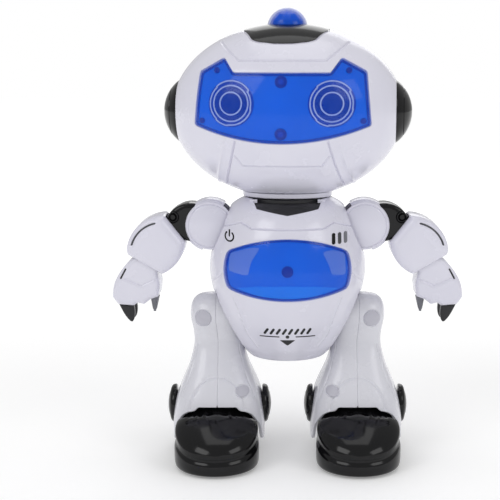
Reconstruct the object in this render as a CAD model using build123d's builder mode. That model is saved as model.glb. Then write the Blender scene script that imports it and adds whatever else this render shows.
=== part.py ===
"""Walking humanoid toy robot, as an assembly of separate moulded shells, axles, wheels and electronics.

Millimetres. +Z is up, the robot faces -Y, and its own left side is +X. The origin is on the floor, at the
centre of the footprint of the whole robot. Every piece is drawn about the robot's own upright axis, then
moved by AXIS_SHIFT along Y when it is written. Pieces of the head are also turned by HEAD_TURN about Z.
Paired pieces are drawn on the +X side and mirrored.
"""

import os
from math import cos, hypot, pi, radians, sin

from build123d import *

# --- whole robot ---------------------------------------------------------------------------------
AXIS_SHIFT = 4.2          # the upright axis stands this far behind the origin
WALL = 2.0                # moulded shell thickness
FIT = 0.15                # gap round a part that is set into a shell
RUN = 0.06                # radial clearance of a pin in its bearing

# --- head: a spheroid about X --------------------------------------------------------------------
HEAD_TURN = -4.5          # degrees about Z, towards the robot's right
HEAD_Z = 208.0
HEAD_A = 69.0             # half width
HEAD_B = 51.5             # half height and half depth
HEAD_FLOOR_Z = 160.6      # flat underside
HEAD_SEAM_Y = 12.0        # front and rear shells meet here
CROWN_OUTLINE = [(14, -33), (18.5, -29), (25, -11), (25, 11), (18.5, 29), (14, 33)]
DOME_R = 12.0
DOME_Z = 256.6
EAR_R = 18.5
EAR_TIP_X = 74.0
EYE_X = 28.8
HEAD_SCREWS = [(-34, 228), (34, 228), (-34, 188), (34, 188)]
HEAD_SCREW_Y = 33.0
SCREW_R, SCREW_HEAD_R, SCREW_LENGTH, BOSS_R = 1.3, 2.6, 9.0, 4.6

# --- torso: a solid of revolution about Z --------------------------------------------------------
TORSO_TOP_Z = 157.5
TORSO_PROFILE = [
    (25, 157.5), (33, 153.2), (40.6, 142), (45.6, 127.5), (47.2, 112.5), (44.0, 97), (38, 82), (30.5, 68),
]
TORSO_FLOOR_R, TORSO_FLOOR_Z = 23.0, 60.5
COLLAR_R = 23.6
SPINDLE_R = 9.0
SPINDLE_TOP_Z = 172.0
SHOULDER_X, SHOULDER_Z = 46.4, 140.3
SHOULDER_R = 16.0
SOCKET_R = 17.4
YOKE_AXLE_R = 4.9
SPEAKER_Z = 138.8
TORSO_SCREWS = [(-24, 137), (24, 137), (-20, 87), (20, 87)]
TORSO_SCREW_Y = 30.0
HIP_Z = 85.0
HIP_PIN_R = 3.0
POCKET_X, POCKET_Y, POCKET_Z = 25.6, 14.4, 101.0

# --- arm, as front view outlines in (x, z) -------------------------------------------------------
BLOCK_HALF_Y, BLOCK_HUB_R = 8.8, 12.9
UPPER_ARM_HALF_Y = 14.5
FOREARM_HALF_Y = 11.5
BEVEL = 36.0              # slope of the upper arm's edges
ELBOW_X, ELBOW_Z = 82.3, 121.9

# --- leg and foot --------------------------------------------------------------------------------
LEG_X = 42.0
ANKLE_Z = 28.0
KNUCKLE_R = 13.2
LEG_SECTIONS = [          # height, half width, half depth, corner radius
    (9.0, 27.8, 29.5, 12.0), (22.6, 27.9, 30.5, 12.0), (38.0, 25.0, 27.0, 12.0),
    (53.5, 18.6, 18.0, 9.5), (66.0, 15.1, 11.0, 7.0), (76.0, 15.0, 10.5, 6.5),
]
ANKLE_PIN_R = 4.0
ANKLE_CAP_R = 11.8
SHOE_HALF_X = 23.5
TOE_Y, HEEL_Y = -60.0, 41.0
SOLE_Z = 1.2
WHEEL_R = 9.0
WHEEL_X, WHEEL_Y = 15.5, 16.0
TYRE_WIDTH, SEAT_X = 5.0, 11.0
GEAR_TEETH, PINION_TEETH, MODULE = 20, 10, 0.8


# --- helpers -------------------------------------------------------------------------------------
def place(shape, on_head=False):
    """The shape in its final place in the robot's frame."""
    if on_head:
        shape = shape.rotate(Axis.Z, HEAD_TURN)
    return shape.moved(Location((0, AXIS_SHIFT, 0)))


def save(piece, name, on_head=False):
    """Writes one sub-part."""
    shape = place(piece.part, on_head)
    shape.label = name
    export_step(shape, f"parts/{name}.step")


def save_pair(piece, name):
    """Writes a piece drawn on the robot's left, and its mirror image on the right."""
    for side, shape in (("left", piece.part), ("right", mirror(piece.part, about=Plane.YZ))):
        shape = place(shape)
        shape.label = f"{name}_{side}"
        export_step(shape, f"parts/{name}_{side}.step")


def torso_curve(distance):
    """Corners (r, z) of the torso's side and of its flat floor, moved inwards by distance."""
    side = []
    last = len(TORSO_PROFILE) - 1
    for i, (r, z) in enumerate(TORSO_PROFILE):
        before, after = TORSO_PROFILE[max(i - 1, 0)], TORSO_PROFILE[min(i + 1, last)]
        along_r, along_z = after[0] - before[0], after[1] - before[1]
        size = hypot(along_r, along_z)
        side.append((r + distance * along_z / size, z - distance * along_r / size))
    return side, (TORSO_FLOOR_R - 0.6 * distance, TORSO_FLOOR_Z + distance)


def torso_body(distance, sweep=360):
    """The torso's solid of revolution, smaller all round by distance; a sweep of 180 gives its back half."""
    side, floor = torso_curve(distance)
    with BuildPart() as body:
        with BuildSketch(Plane.XZ if sweep == 180 else Plane.YZ):
            with BuildLine():
                Spline(*side)
                Polyline(side[-1], floor, (0, floor[1]), (0, side[0][1]), side[0])
            make_face()
        revolve(axis=Axis.Z, revolution_arc=sweep)
    return body.part


def torso_skin(outside, inside, sweep=360):
    """The torso's skin between two insets, open at the top, with a flat floor; 180 gives its back half."""
    outer, outer_floor = torso_curve(outside)
    inner, inner_floor = torso_curve(inside)
    with BuildPart() as skin:
        with BuildSketch(Plane.XZ if sweep == 180 else Plane.YZ):
            with BuildLine():
                Spline(*outer)
                Polyline(outer[-1], outer_floor, (0, outer_floor[1]),
                         (0, inner_floor[1]), inner_floor, inner[-1])
                Spline(*inner)
                Line(inner[0], outer[0])
            make_face()
        revolve(axis=Axis.Z, revolution_arc=sweep)
    return skin.part


def head_body(distance):
    """The head's spheroid, made smaller all round by distance (negative is larger)."""
    a, b = HEAD_A - distance, HEAD_B - distance
    with BuildPart() as body:
        with BuildSketch(Plane.XZ.offset(0)):
            with BuildLine():
                EllipticalCenterArc((0, HEAD_Z), a, b, start_angle=0, arc_size=180)
                Line((-a, HEAD_Z), (a, HEAD_Z))
            make_face()
        revolve(axis=Axis((0, 0, HEAD_Z), (1, 0, 0)))
    return body.part


def front_prism(outline, near=-80.0, far=0.0):
    """A front view outline, a list of (x, z) corners, as a prism from y = near to y = far."""
    with BuildPart() as prism:
        with BuildSketch(Plane.XZ.offset(-far)):
            with BuildLine():
                Polyline(*outline, close=True)
            make_face()
        extrude(amount=far - near)
    return prism.part


def both_sides(half):
    """A closed outline from its right half, given from top to bottom."""
    return half + [(-x, z) for x, z in reversed(half) if x > 0]


def visor_outline(grow=0.0):
    """Front view corners of the visor: raised horns, a brow notch and a curved lower edge."""
    lower = [(50.3 * t, 192.0 + 9.8 * t * t) for t in (1.0, 0.75, 0.5, 0.25, 0.0)]
    half = [(0, 231.2), (27.7, 231.2), (33.6, 239.6), (47.6, 232.0), *lower]
    if not grow:
        return both_sides(half)
    centre_z = 215.0
    return both_sides([
        (x + grow * (1 if x > 1 else 0), z + grow * (1 if z > centre_z else -1)) for x, z in half
    ])


def lens_face(grow=0.0):
    """Front view face of the chest lens, with bowed edges."""
    x, top_z, low_z = 34.8 + grow, 128.6 + grow, 106.6 - grow
    with BuildSketch(Plane.XZ) as face:
        with BuildLine():
            ThreePointArc((-x, top_z), (0, 137.0 + grow), (x, top_z))
            ThreePointArc((x, top_z), (37.2 + grow, 117.5), (x, low_z))
            ThreePointArc((x, low_z), (0, 101.6 - grow), (-x, low_z))
            ThreePointArc((-x, low_z), (-37.2 - grow, 117.5), (-x, top_z))
        make_face()
        fillet(face.vertices(), 3.0)
    return face.sketch


def cover_face(grow=0.0):
    """Rear view face of the battery cover."""
    with BuildSketch(Plane.XZ) as face:
        with Locations((0, 111.5)):
            RectangleRounded(60 + 2 * grow, 37 + 2 * grow, 5 + grow)
    return face.sketch


def spur_gear(teeth, width, bore_r):
    """A spur gear about X, from x = 0 to x = width, with straight-flanked teeth and generous backlash."""
    pitch_r = MODULE * teeth / 2
    root_r, tip_r = pitch_r - 1.2 * MODULE, pitch_r + 0.75 * MODULE
    tooth = 2 * pi / teeth
    corners = []
    for k in range(teeth):
        for share, r in ((-0.30, root_r), (-0.19, pitch_r), (-0.09, tip_r), (0.09, tip_r), (0.19, pitch_r),
                         (0.30, root_r)):
            angle = (k + share) * tooth
            corners.append((r * cos(angle), r * sin(angle)))
    with BuildPart() as gear:
        with BuildSketch(Plane.YZ):
            with BuildLine():
                Polyline(*corners, close=True)
            make_face()
            Circle(bore_r, mode=Mode.SUBTRACT)
        extrude(amount=width)
    return gear.part


# --- head ----------------------------------------------------------------------------------------
def crown_prism(grow=0.0):
    """Top view outline of the crown cap, as a tall prism."""
    outline = [(x + grow, y + grow * (1 if y > 0 else -1)) for x, y in CROWN_OUTLINE]
    outline += [(-x, y) for x, y in reversed(outline)]
    with BuildPart() as prism:
        with BuildSketch(Plane.XY.offset(HEAD_Z + 20)):
            with BuildLine():
                Polyline(*outline, close=True)
            make_face()
        extrude(amount=60)
    return prism.part


def half_of(shape, side):
    """The part of a shape on one side of the upright plane through y = 0 or, for the head, its seam."""
    reach = 200
    seam_y, front = side
    with BuildPart() as half:
        add(shape)
        with Locations((0, seam_y + (-reach / 2 if front else reach / 2), 150)):
            Box(2 * reach, reach, 400, mode=Mode.INTERSECT)
    return half


def head_shells():
    """Front and rear shells, with the visor, crown, ear and neck openings."""
    with BuildPart() as whole:
        add(head_body(0))
        add(head_body(WALL), mode=Mode.SUBTRACT)
        with Locations((0, 0, HEAD_FLOOR_Z - 50)):
            Box(200, 200, 100, mode=Mode.SUBTRACT)
        add(front_prism(visor_outline(FIT)), mode=Mode.SUBTRACT)
        add(crown_prism(FIT), mode=Mode.SUBTRACT)
        with Locations(Location((0, 0, HEAD_Z), (0, 90, 0))):
            Cylinder(EAR_R - 3, 2 * EAR_TIP_X, mode=Mode.SUBTRACT)
    with BuildPart() as rear:
        add(half_of(whole.part, (HEAD_SEAM_Y, False)).part)
        add(screw_bosses(HEAD_SCREWS, HEAD_SCREW_Y, head_body(0)))
        add(screw_holes(HEAD_SCREWS, HEAD_SCREW_Y), mode=Mode.SUBTRACT)
    return {"head_front_shell": half_of(whole.part, (HEAD_SEAM_Y, True)), "head_rear_shell": rear}


def visor():
    """Tinted window set flush into the face, with two screw bosses behind it."""
    with BuildPart() as window:
        add(head_body(-0.4))
        add(head_body(1.6), mode=Mode.SUBTRACT)
        add(front_prism(visor_outline()), mode=Mode.INTERSECT)
    return window


def crown_cap():
    """Black cap over the top of the head."""
    with BuildPart() as cap:
        add(head_body(-0.5))
        add(head_body(1.5), mode=Mode.SUBTRACT)
        add(crown_prism(), mode=Mode.INTERSECT)
        with Locations((0, 0, DOME_Z)):
            Cylinder(DOME_R - 1.5, 20, mode=Mode.SUBTRACT)
    return cap


def dome_lamp():
    """Blue lamp dome standing on the crown cap, with a stem through its hole."""
    with BuildPart() as lamp:
        with Locations((0, 0, DOME_Z)):
            Sphere(DOME_R)
            Sphere(DOME_R - 1.6, mode=Mode.SUBTRACT)
        add(head_body(-0.6), mode=Mode.SUBTRACT)
        with BuildSketch(Plane.XY.offset(HEAD_Z + HEAD_B - 3.5)):
            Circle(DOME_R - 1.65)
            Circle(DOME_R - 3.2, mode=Mode.SUBTRACT)
        extrude(amount=6.5)
    return lamp


def ear_cap():
    """Domed black cap on the side of the head, with a plug behind it."""
    rim_x, plug_x = 64.6, 55.0
    with BuildPart() as cap:
        with BuildSketch(Plane.XZ.offset(0)):
            with BuildLine():
                Line((plug_x, HEAD_Z), (EAR_TIP_X, HEAD_Z))
                TangentArc((EAR_TIP_X, HEAD_Z), (rim_x, HEAD_Z + EAR_R), tangent=(0, 1))
                Polyline((rim_x, HEAD_Z + EAR_R), (plug_x, HEAD_Z + EAR_R), (plug_x, HEAD_Z))
            make_face()
        revolve(axis=Axis((0, 0, HEAD_Z), (1, 0, 0)))
        add(head_body(-0.1), mode=Mode.SUBTRACT)
        with BuildSketch(Plane.YZ.offset(59)):
            with Locations((0, HEAD_Z)):
                Circle(EAR_R - 3.15)
                Circle(EAR_R - 5.5, mode=Mode.SUBTRACT)
        extrude(amount=9)
    return cap


def eye_light_board():
    """Circuit board behind the visor, with a lamp cup and a lamp for each eye."""
    board_y = -28.0
    with BuildPart() as board:
        with Locations((0, board_y, 210)):
            Box(88, 1.6, 28)
        for x in (-EYE_X, EYE_X):
            with Locations(Location((x, board_y - 0.8, 210.5), (90, 0, 0))):
                Cylinder(11.5, 5, align=(Align.CENTER, Align.CENTER, Align.MIN))
                Cylinder(10.3, 5, align=(Align.CENTER, Align.CENTER, Align.MIN), mode=Mode.SUBTRACT)
                Cylinder(2.5, 6, align=(Align.CENTER, Align.CENTER, Align.MIN))
    return board


def neck_ring():
    """White plate that closes the head's underside and turns on the neck spindle."""
    with BuildPart() as ring:
        with BuildSketch(Plane.XY.offset(TORSO_TOP_Z + 0.2)):
            Ellipse(26.8, 21.2)
            Circle(SPINDLE_R + RUN, mode=Mode.SUBTRACT)
        extrude(amount=HEAD_FLOOR_Z - TORSO_TOP_Z - 0.25)
        fillet(ring.faces().sort_by(Axis.Z)[0].outer_wire().edges(), 0.8)
        with BuildSketch(Plane.XY.offset(HEAD_FLOOR_Z - 0.1)):
            Circle(13)
            Circle(SPINDLE_R + RUN, mode=Mode.SUBTRACT)
        extrude(amount=6)
    return ring


def screw_group(places, head_y):
    """Self-tapping screws driven from behind: the heads' undersides are at y = head_y."""
    with BuildPart() as screws:
        for x, z in places:
            with BuildSketch(Plane.XZ.offset(-head_y)):
                with Locations((x, z)):
                    Circle(SCREW_R)
            extrude(amount=SCREW_LENGTH)
            with BuildSketch(Plane.XZ.offset(-head_y)):
                with Locations((x, z)):
                    Circle(SCREW_HEAD_R)
            extrude(amount=-1.8)
    return screws


def rear_pegs(places, near_y, radius, length):
    """Round pegs along Y at the given (x, z) places, from near_y towards the rear."""
    with BuildPart() as pegs:
        with BuildSketch(Plane.XZ.offset(-near_y)):
            with Locations(*places):
                Circle(radius)
        extrude(amount=-length)
    return pegs.part


def screw_bosses(places, head_y, outside):
    """Bosses for screw_group, kept inside the given outer shape."""
    with BuildPart() as bosses:
        add(rear_pegs(places, head_y - SCREW_LENGTH, BOSS_R, 40))
        add(outside, mode=Mode.INTERSECT)
    return bosses.part


def screw_holes(places, head_y):
    """Counterbored holes for screw_group, open to the rear."""
    with BuildPart() as holes:
        add(rear_pegs(places, head_y - SCREW_LENGTH - 1, SCREW_R + RUN, 20))
        add(rear_pegs(places, head_y, SCREW_HEAD_R + 0.4, 40))
    return holes.part


def head_screws():
    """Four screws that hold the head shells together."""
    return screw_group(HEAD_SCREWS, HEAD_SCREW_Y)


# --- torso ---------------------------------------------------------------------------------------
def torso_half(front):
    """Front or back shell, with shoulder sockets, hip pockets and the lens or battery opening."""
    collar_cut = both_sides([(22.5, 162), (18.5, 153.4), (0, 150.6)])
    skin, walls = torso_skin(0, WALL, 180), socket_walls()
    if front:
        skin, walls = mirror(skin, about=Plane.XZ), mirror(walls, about=Plane.XZ)
    with BuildPart() as shell:
        add(skin)
        add(walls)
        for side in (-1, 1):
            with Locations((side * SHOULDER_X, 0, SHOULDER_Z)):
                Sphere(SOCKET_R, rotation=(0, 0, 90), mode=Mode.SUBTRACT)
            with Locations(Location((side * 0.6 * SHOULDER_X, 0, SHOULDER_Z), (0, 90, 0))):
                Cylinder(YOKE_AXLE_R + RUN, 20, mode=Mode.SUBTRACT)
            with Locations((side * (POCKET_X + 20), 0, POCKET_Z - 30)):
                Box(40, 2 * POCKET_Y, 60, mode=Mode.SUBTRACT)
        if front:
            extrude(lens_face(FIT), amount=80, mode=Mode.SUBTRACT)
            add(front_prism(collar_cut), mode=Mode.SUBTRACT)
        else:
            extrude(cover_face(FIT), amount=-80, mode=Mode.SUBTRACT)
            add(screw_bosses(TORSO_SCREWS, TORSO_SCREW_Y, torso_body(0)))
            add(screw_holes(TORSO_SCREWS, TORSO_SCREW_Y), mode=Mode.SUBTRACT)
            # speaker grille: three rings of round holes
            for ring, count in ((3.0, 6), (6.2, 10), (9.4, 16)):
                with BuildSketch(Plane.XZ.offset(-20)):
                    with Locations((0, SPEAKER_Z)):
                        with PolarLocations(ring, count):
                            Circle(0.9)
                extrude(amount=-40, mode=Mode.SUBTRACT)
            # slot for the power switch
            with Locations((0, 30, 77)):
                Box(9, 30, 4.4, mode=Mode.SUBTRACT)
    return shell


def torso_shells():
    """Front and back shells of the torso."""
    return {"torso_front_shell": torso_half(True), "torso_back_shell": torso_half(False)}


def socket_walls():
    """Back halves of the two solid balls, within the torso, that the shoulder sockets are hollowed from."""
    with BuildPart() as balls:
        with Locations((-SHOULDER_X, 0, SHOULDER_Z), (SHOULDER_X, 0, SHOULDER_Z)):
            Sphere(SOCKET_R + 1.8, rotation=(0, 0, 90))
        add(torso_body(0, 180), mode=Mode.INTERSECT)
    return balls.part


def chest_lens():
    """Blue window across the chest, standing a little proud."""
    with BuildPart() as lens:
        add(torso_skin(-0.9, 1.2))
        extrude(lens_face(), amount=80, mode=Mode.INTERSECT)
    return lens


def chest_light_board():
    """Round board behind the chest lens, with a lamp at its centre."""
    with BuildPart() as board:
        with Locations(Location((0, -30, 118), (90, 0, 0))):
            Cylinder(15, 1.6)
            Cylinder(2.5, 7, align=(Align.CENTER, Align.CENTER, Align.MIN))
    return board


def neck_collar():
    """Black collar under the neck opening, with the hollow spindle that the head turns on."""
    with BuildPart() as collar:
        add(torso_skin(WALL + 0.3, WALL + 2.1))
        with Locations((0, 0, 144 - 60)):
            Box(120, 120, 120, mode=Mode.SUBTRACT)
        for x in (-SHOULDER_X, SHOULDER_X):
            with Locations((x, 0, SHOULDER_Z)):
                Sphere(SOCKET_R + 2.1, mode=Mode.SUBTRACT)
        with Locations((0, 0, 153.5)):
            Cylinder(COLLAR_R, 3.6, align=(Align.CENTER, Align.CENTER, Align.MIN))
            Cylinder(SPINDLE_R, SPINDLE_TOP_Z - 153.5, align=(Align.CENTER, Align.CENTER, Align.MIN))
            Cylinder(SPINDLE_R - 2.5, 40, mode=Mode.SUBTRACT)
    return collar


def pelvis_frame():
    """Black frame in the lower torso that carries the hip pin."""
    with BuildPart() as frame:
        with Locations((0, 0, 82.2)):
            Box(49, 27, 24.4)
        with Locations((0, 0, 85.5)):
            Box(43, 21, 24, mode=Mode.SUBTRACT)
        with Locations(Location((0, 0, HIP_Z), (0, 90, 0))):
            Cylinder(HIP_PIN_R, 80, mode=Mode.SUBTRACT)
    return frame


def hip_pin():
    """Steel pin through the frame, on which both legs swing."""
    with BuildPart() as pin:
        with Locations(Location((0, 0, HIP_Z), (0, 90, 0))):
            Cylinder(HIP_PIN_R, 108)
    return pin


def battery_box():
    """Open-backed tray for four cells."""
    with BuildPart() as tray:
        with Locations((0, 14.7, 111.5)):
            Box(53.2, 31.4, 33)
        with Locations((0, 16.7, 111.5)):
            Box(51.0, 31.4, 30, mode=Mode.SUBTRACT)
    return tray


def battery_cells():
    """Four AA cells, lying across the tray in two layers."""
    with BuildPart() as cells:
        for y in (8.4, 23.0):
            for z in (104.1, 118.9):
                with Locations(Location((-0.4, y, z), (0, 90, 0))):
                    Cylinder(7.1, 49)
                with Locations(Location((24.6, y, z), (0, 90, 0))):
                    Cylinder(2.7, 1.0)
    return cells


def battery_cover():
    """Removable door over the cells, with its screw boss."""
    with BuildPart() as cover:
        add(torso_skin(-0.3, 1.6))
        extrude(cover_face(), amount=-80, mode=Mode.INTERSECT)
    return cover


def main_circuit_board():
    """Control board ahead of the batteries, with its chip."""
    with BuildPart() as board:
        with Locations((0, -6, 112)):
            Box(50, 1.6, 32)
        with Locations((0, -8, 114)):
            Box(14, 2.6, 10)
        for x in (-18, 18):
            with Locations(Location((x, -9.2, 106), (90, 0, 0))):
                Cylinder(3, 5)
    return board


def speaker():
    """Round loudspeaker behind the grille in the back."""
    with BuildPart() as unit:
        for face_y, radius, depth in ((30.4, 10, 3), (27.4, 6.5, 6)):
            with BuildSketch(Plane.XZ.offset(-face_y)):
                with Locations((0, SPEAKER_Z)):
                    Circle(radius)
            extrude(amount=depth)
    return unit


def power_switch_knob():
    """Slide switch knob that travels sideways in its slot."""
    with BuildPart() as knob:
        with Locations((-1.6, 33.2, 77)):
            Box(4.6, 7.6, 3.6)
        fillet(knob.edges().filter_by(Axis.Z).group_by(Axis.Y)[-1], 0.8)
    return knob


def torso_screws():
    """Four screws that hold the torso shells together."""
    return screw_group(TORSO_SCREWS, TORSO_SCREW_Y)


# --- arm -----------------------------------------------------------------------------------------
def shoulder_yoke():
    """Round shoulder on an axle into the torso; it is open outwards for the arm's block."""
    face_y, rim_r, edge_r = 12.0, 9.0, 6.5
    turn_x, turn_y = rim_r + edge_r * sin(radians(70)), edge_r * (1 - cos(radians(70)))
    with BuildPart() as yoke:
        with BuildSketch(Plane.XY):
            with BuildLine():
                Line((0, -face_y), (rim_r, -face_y))
                JernArc((rim_r, -face_y), (1, 0), edge_r, 70)
                Polyline((turn_x, turn_y - face_y), (SHOULDER_R, -4), (SHOULDER_R, 4),
                         (turn_x, face_y - turn_y))
                JernArc((rim_r, face_y), (1, 0), edge_r, -70)
                Polyline((rim_r, face_y), (0, face_y), (0, -face_y))
            make_face()
        revolve(axis=Axis.Y)
        Cylinder(BLOCK_HUB_R + 0.5, 2 * BLOCK_HALF_Y + 0.6, rotation=(90, 0, 0), mode=Mode.SUBTRACT)
        # the outward opening, wide enough for the block's whole swing
        with BuildSketch(Plane.XZ.offset(-BLOCK_HALF_Y - 0.3)):
            with BuildLine():
                reach = 30
                Polyline(
                    (0, 0),
                    (reach * cos(radians(-56)), reach * sin(radians(-56))),
                    (reach, -reach * 0.3),
                    (reach, reach),
                    (reach * cos(radians(108)), reach * sin(radians(108))),
                    close=True,
                )
            make_face()
        extrude(amount=2 * BLOCK_HALF_Y + 0.6, mode=Mode.SUBTRACT)
        # bearing pin across the middle, and the axle towards the torso
        Cylinder(3, 2 * BLOCK_HALF_Y + 2, rotation=(90, 0, 0))
        with Locations((-SHOULDER_R - 3.6, 0, 0)):
            Cylinder(YOKE_AXLE_R, 9.5, rotation=(0, 90, 0))
    yoke.part.position += (SHOULDER_X, 0, SHOULDER_Z)
    return yoke


def shoulder_block():
    """Black link between the shoulder and the upper arm, bored for the shoulder's pin."""
    with BuildPart() as block:
        with BuildSketch(Plane.XZ.offset(-BLOCK_HALF_Y)):
            with Locations((SHOULDER_X, SHOULDER_Z)):
                Circle(BLOCK_HUB_R)
            with BuildLine():
                ThreePointArc((52.5, 152.8), (64.0, 152.6), (72.2, 145.6))
                Polyline((72.2, 145.6), (76.5, 139.5), (76.0, 132.0), (64.0, 132.0), (55.0, 129.5),
                         (52.5, 152.8))
            make_face()
            # the hub stops short of the torso behind the pin
            with Locations((SHOULDER_X, SHOULDER_Z)):
                with BuildLine():
                    Polyline((-20, -16), (-1.6, -16), (-4.4, -5), (-4.4, 5), (-1.6, 16),
                             (-20, 16), close=True)
                make_face(mode=Mode.SUBTRACT)
            with Locations((SHOULDER_X, SHOULDER_Z)):
                Circle(3 + RUN, mode=Mode.SUBTRACT)
        extrude(amount=2 * BLOCK_HALF_Y)
    return block


def upper_arm_face(grow=0.0):
    """Front view face of the upper arm shell."""
    with BuildSketch(Plane.XZ) as face:
        with BuildLine():
            ThreePointArc((73.6, 146.7), (88.6, 141.1), (96.2, 126.0))
            Line((96.2, 126.0), (95.4, 123.4))
            Line((95.4, 123.4), (75.2, 111.6))
            ThreePointArc((75.2, 111.6), (65.4, 119.2), (61.2, 130.8))
            Line((61.2, 130.8), (73.6, 146.7))
        make_face()
        if grow:
            offset(amount=grow, kind=Kind.INTERSECTION, mode=Mode.REPLACE)
    return face.sketch


def bevelled(face, flat, crown):
    """A front view face thickened both ways by flat, then by crown more with sloping sides."""
    with BuildPart() as body:
        extrude(face, amount=flat, both=True)
        with BuildSketch(Plane.XZ.offset(flat)):
            add(face)
        extrude(amount=crown, taper=BEVEL)
    with BuildPart() as both:
        add(body.part)
        add(mirror(body.part, about=Plane.XZ))
    return both.part


def upper_arm_shells():
    """Front and rear halves of the upper arm, open at the shoulder and at the elbow."""
    flat, crown = 8.0, UPPER_ARM_HALF_Y - 8.0
    with BuildPart() as whole:
        add(bevelled(upper_arm_face(), flat, crown))
        add(bevelled(upper_arm_face(-WALL), flat, crown - WALL), mode=Mode.SUBTRACT)
        # mouths for the block and for the forearm
        mouth = Plane((67.4, 0, 138.8), x_dir=(0, 1, 0), z_dir=(-0.788, 0, 0.615))
        with BuildSketch(mouth):
            Rectangle(2 * BLOCK_HALF_Y + 0.8, 20.6)
        extrude(amount=6, both=True, mode=Mode.SUBTRACT)
        mouth = Plane((85.3, 0, 117.5), x_dir=(0, 1, 0), z_dir=(0.504, 0, -0.864))
        with BuildSketch(mouth):
            Rectangle(2 * FOREARM_HALF_Y + 0.8, 20.6)
        extrude(amount=5, both=True, mode=Mode.SUBTRACT)
        # screw post that carries the elbow
        with Locations(Location((ELBOW_X, 0, ELBOW_Z), (90, 0, 0))):
            Cylinder(2.5, 2 * (flat + 5))
    return {
        "upper_arm_front_shell": half_of(whole.part, (0, True)),
        "upper_arm_rear_shell": half_of(whole.part, (0, False)),
    }


def forearm_shells():
    """Front and rear halves of the forearm and hand, bored for the elbow's post."""
    with BuildPart() as whole:
        with BuildSketch(Plane.XZ.offset(-FOREARM_HALF_Y)):
            with BuildLine():
                Spline((94.6, 119.5), (99.9, 113.5), (104.6, 104.5), (105.6, 97.0))
                Polyline((105.6, 97.0), (102.3, 92.4), (93.0, 91.6), (90.5, 93.4), (86.5, 92.4), (83.0, 95.4),
                         (77.9, 97.3), (77.0, 104.3), (78.4, 111.6), (94.6, 119.5))
            make_face()
        extrude(amount=2 * FOREARM_HALF_Y)
        chamfer(whole.edges().group_by(Axis.Y)[0] + whole.edges().group_by(Axis.Y)[-1], 1.6)
        with Locations(Location((ELBOW_X, 0, ELBOW_Z), (90, 0, 0))):
            Cylinder(9.6, 2 * FOREARM_HALF_Y - 2)
        with BuildSketch(Plane.XZ.offset(-FOREARM_HALF_Y + 1)):
            with BuildLine():
                Polyline((91.0, 122.0), (93.0, 117.5), (80.0, 110.0), (75.5, 116.0), close=True)
            make_face()
        extrude(amount=2 * FOREARM_HALF_Y - 2)
        # hollow for lightness, and the bore for the elbow's post
        with Locations((91.0, 0, 104.5)):
            Box(16.5, 2 * (FOREARM_HALF_Y - WALL), 13, mode=Mode.SUBTRACT)
        with Locations(Location((ELBOW_X, 0, ELBOW_Z), (90, 0, 0))):
            Cylinder(2.5 + RUN, 60, mode=Mode.SUBTRACT)
    return {
        "forearm_front_shell": half_of(whole.part, (0, True)),
        "forearm_rear_shell": half_of(whole.part, (0, False)),
    }


def claw_fingers():
    """Two black claws side by side, front and back."""
    with BuildPart() as claws:
        for y in (-6.2, 6.2):
            with BuildSketch(Plane.XZ.offset(-y - 2.4)):
                with BuildLine():
                    Spline((102.2, 92.39), (98.6, 85.6), (95.4, 81.6))
                    ThreePointArc((95.4, 81.6), (94.2, 81.2), (93.4, 82.2))
                    Spline((93.4, 82.2), (92.6, 86.5), (93.2, 91.62))
                    Line((93.2, 91.62), (102.2, 92.39))
                make_face()
            extrude(amount=4.8)
    return claws


def thumb():
    """Grey thumb, a blunt spike at the inner side of the hand."""
    with BuildPart() as spike:
        with BuildSketch(Plane((81.2, 0, 96.0), x_dir=(1, 0, 0), z_dir=(0.03, 0, -1))):
            with Locations((-0.2, 0)):
                Ellipse(2.9, 4.4)
        with BuildSketch(Plane((81.3, 0, 86.4), x_dir=(1, 0, 0), z_dir=(0.03, 0, -1))):
            Ellipse(0.9, 1.4)
        loft()
        add(forearm_socket(), mode=Mode.SUBTRACT)
    return spike


def forearm_socket():
    """The space of the forearm round the thumb's root."""
    with BuildPart() as space:
        with BuildSketch(Plane.XZ.offset(-12)):
            with BuildLine():
                Polyline((70, 100.2), (77.9, 97.3), (83.0, 95.4), (86.5, 92.4), (90, 110),
                         (70, 110), close=True)
            make_face()
        extrude(amount=24)
    return space.part


# --- leg -----------------------------------------------------------------------------------------
def leg_loft(distance):
    """Lofted body of the leg, smaller all round by distance."""
    with BuildPart() as body:
        for z, half_x, half_y, corner in LEG_SECTIONS:
            height = z - 6 * distance if z == LEG_SECTIONS[0][0] else z - distance
            with BuildSketch(Plane.XY.offset(height)):
                with Locations((LEG_X, 0)):
                    RectangleRounded(2 * (half_x - distance), 2 * (half_y - distance), corner - distance)
        loft()
    return body.part


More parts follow.
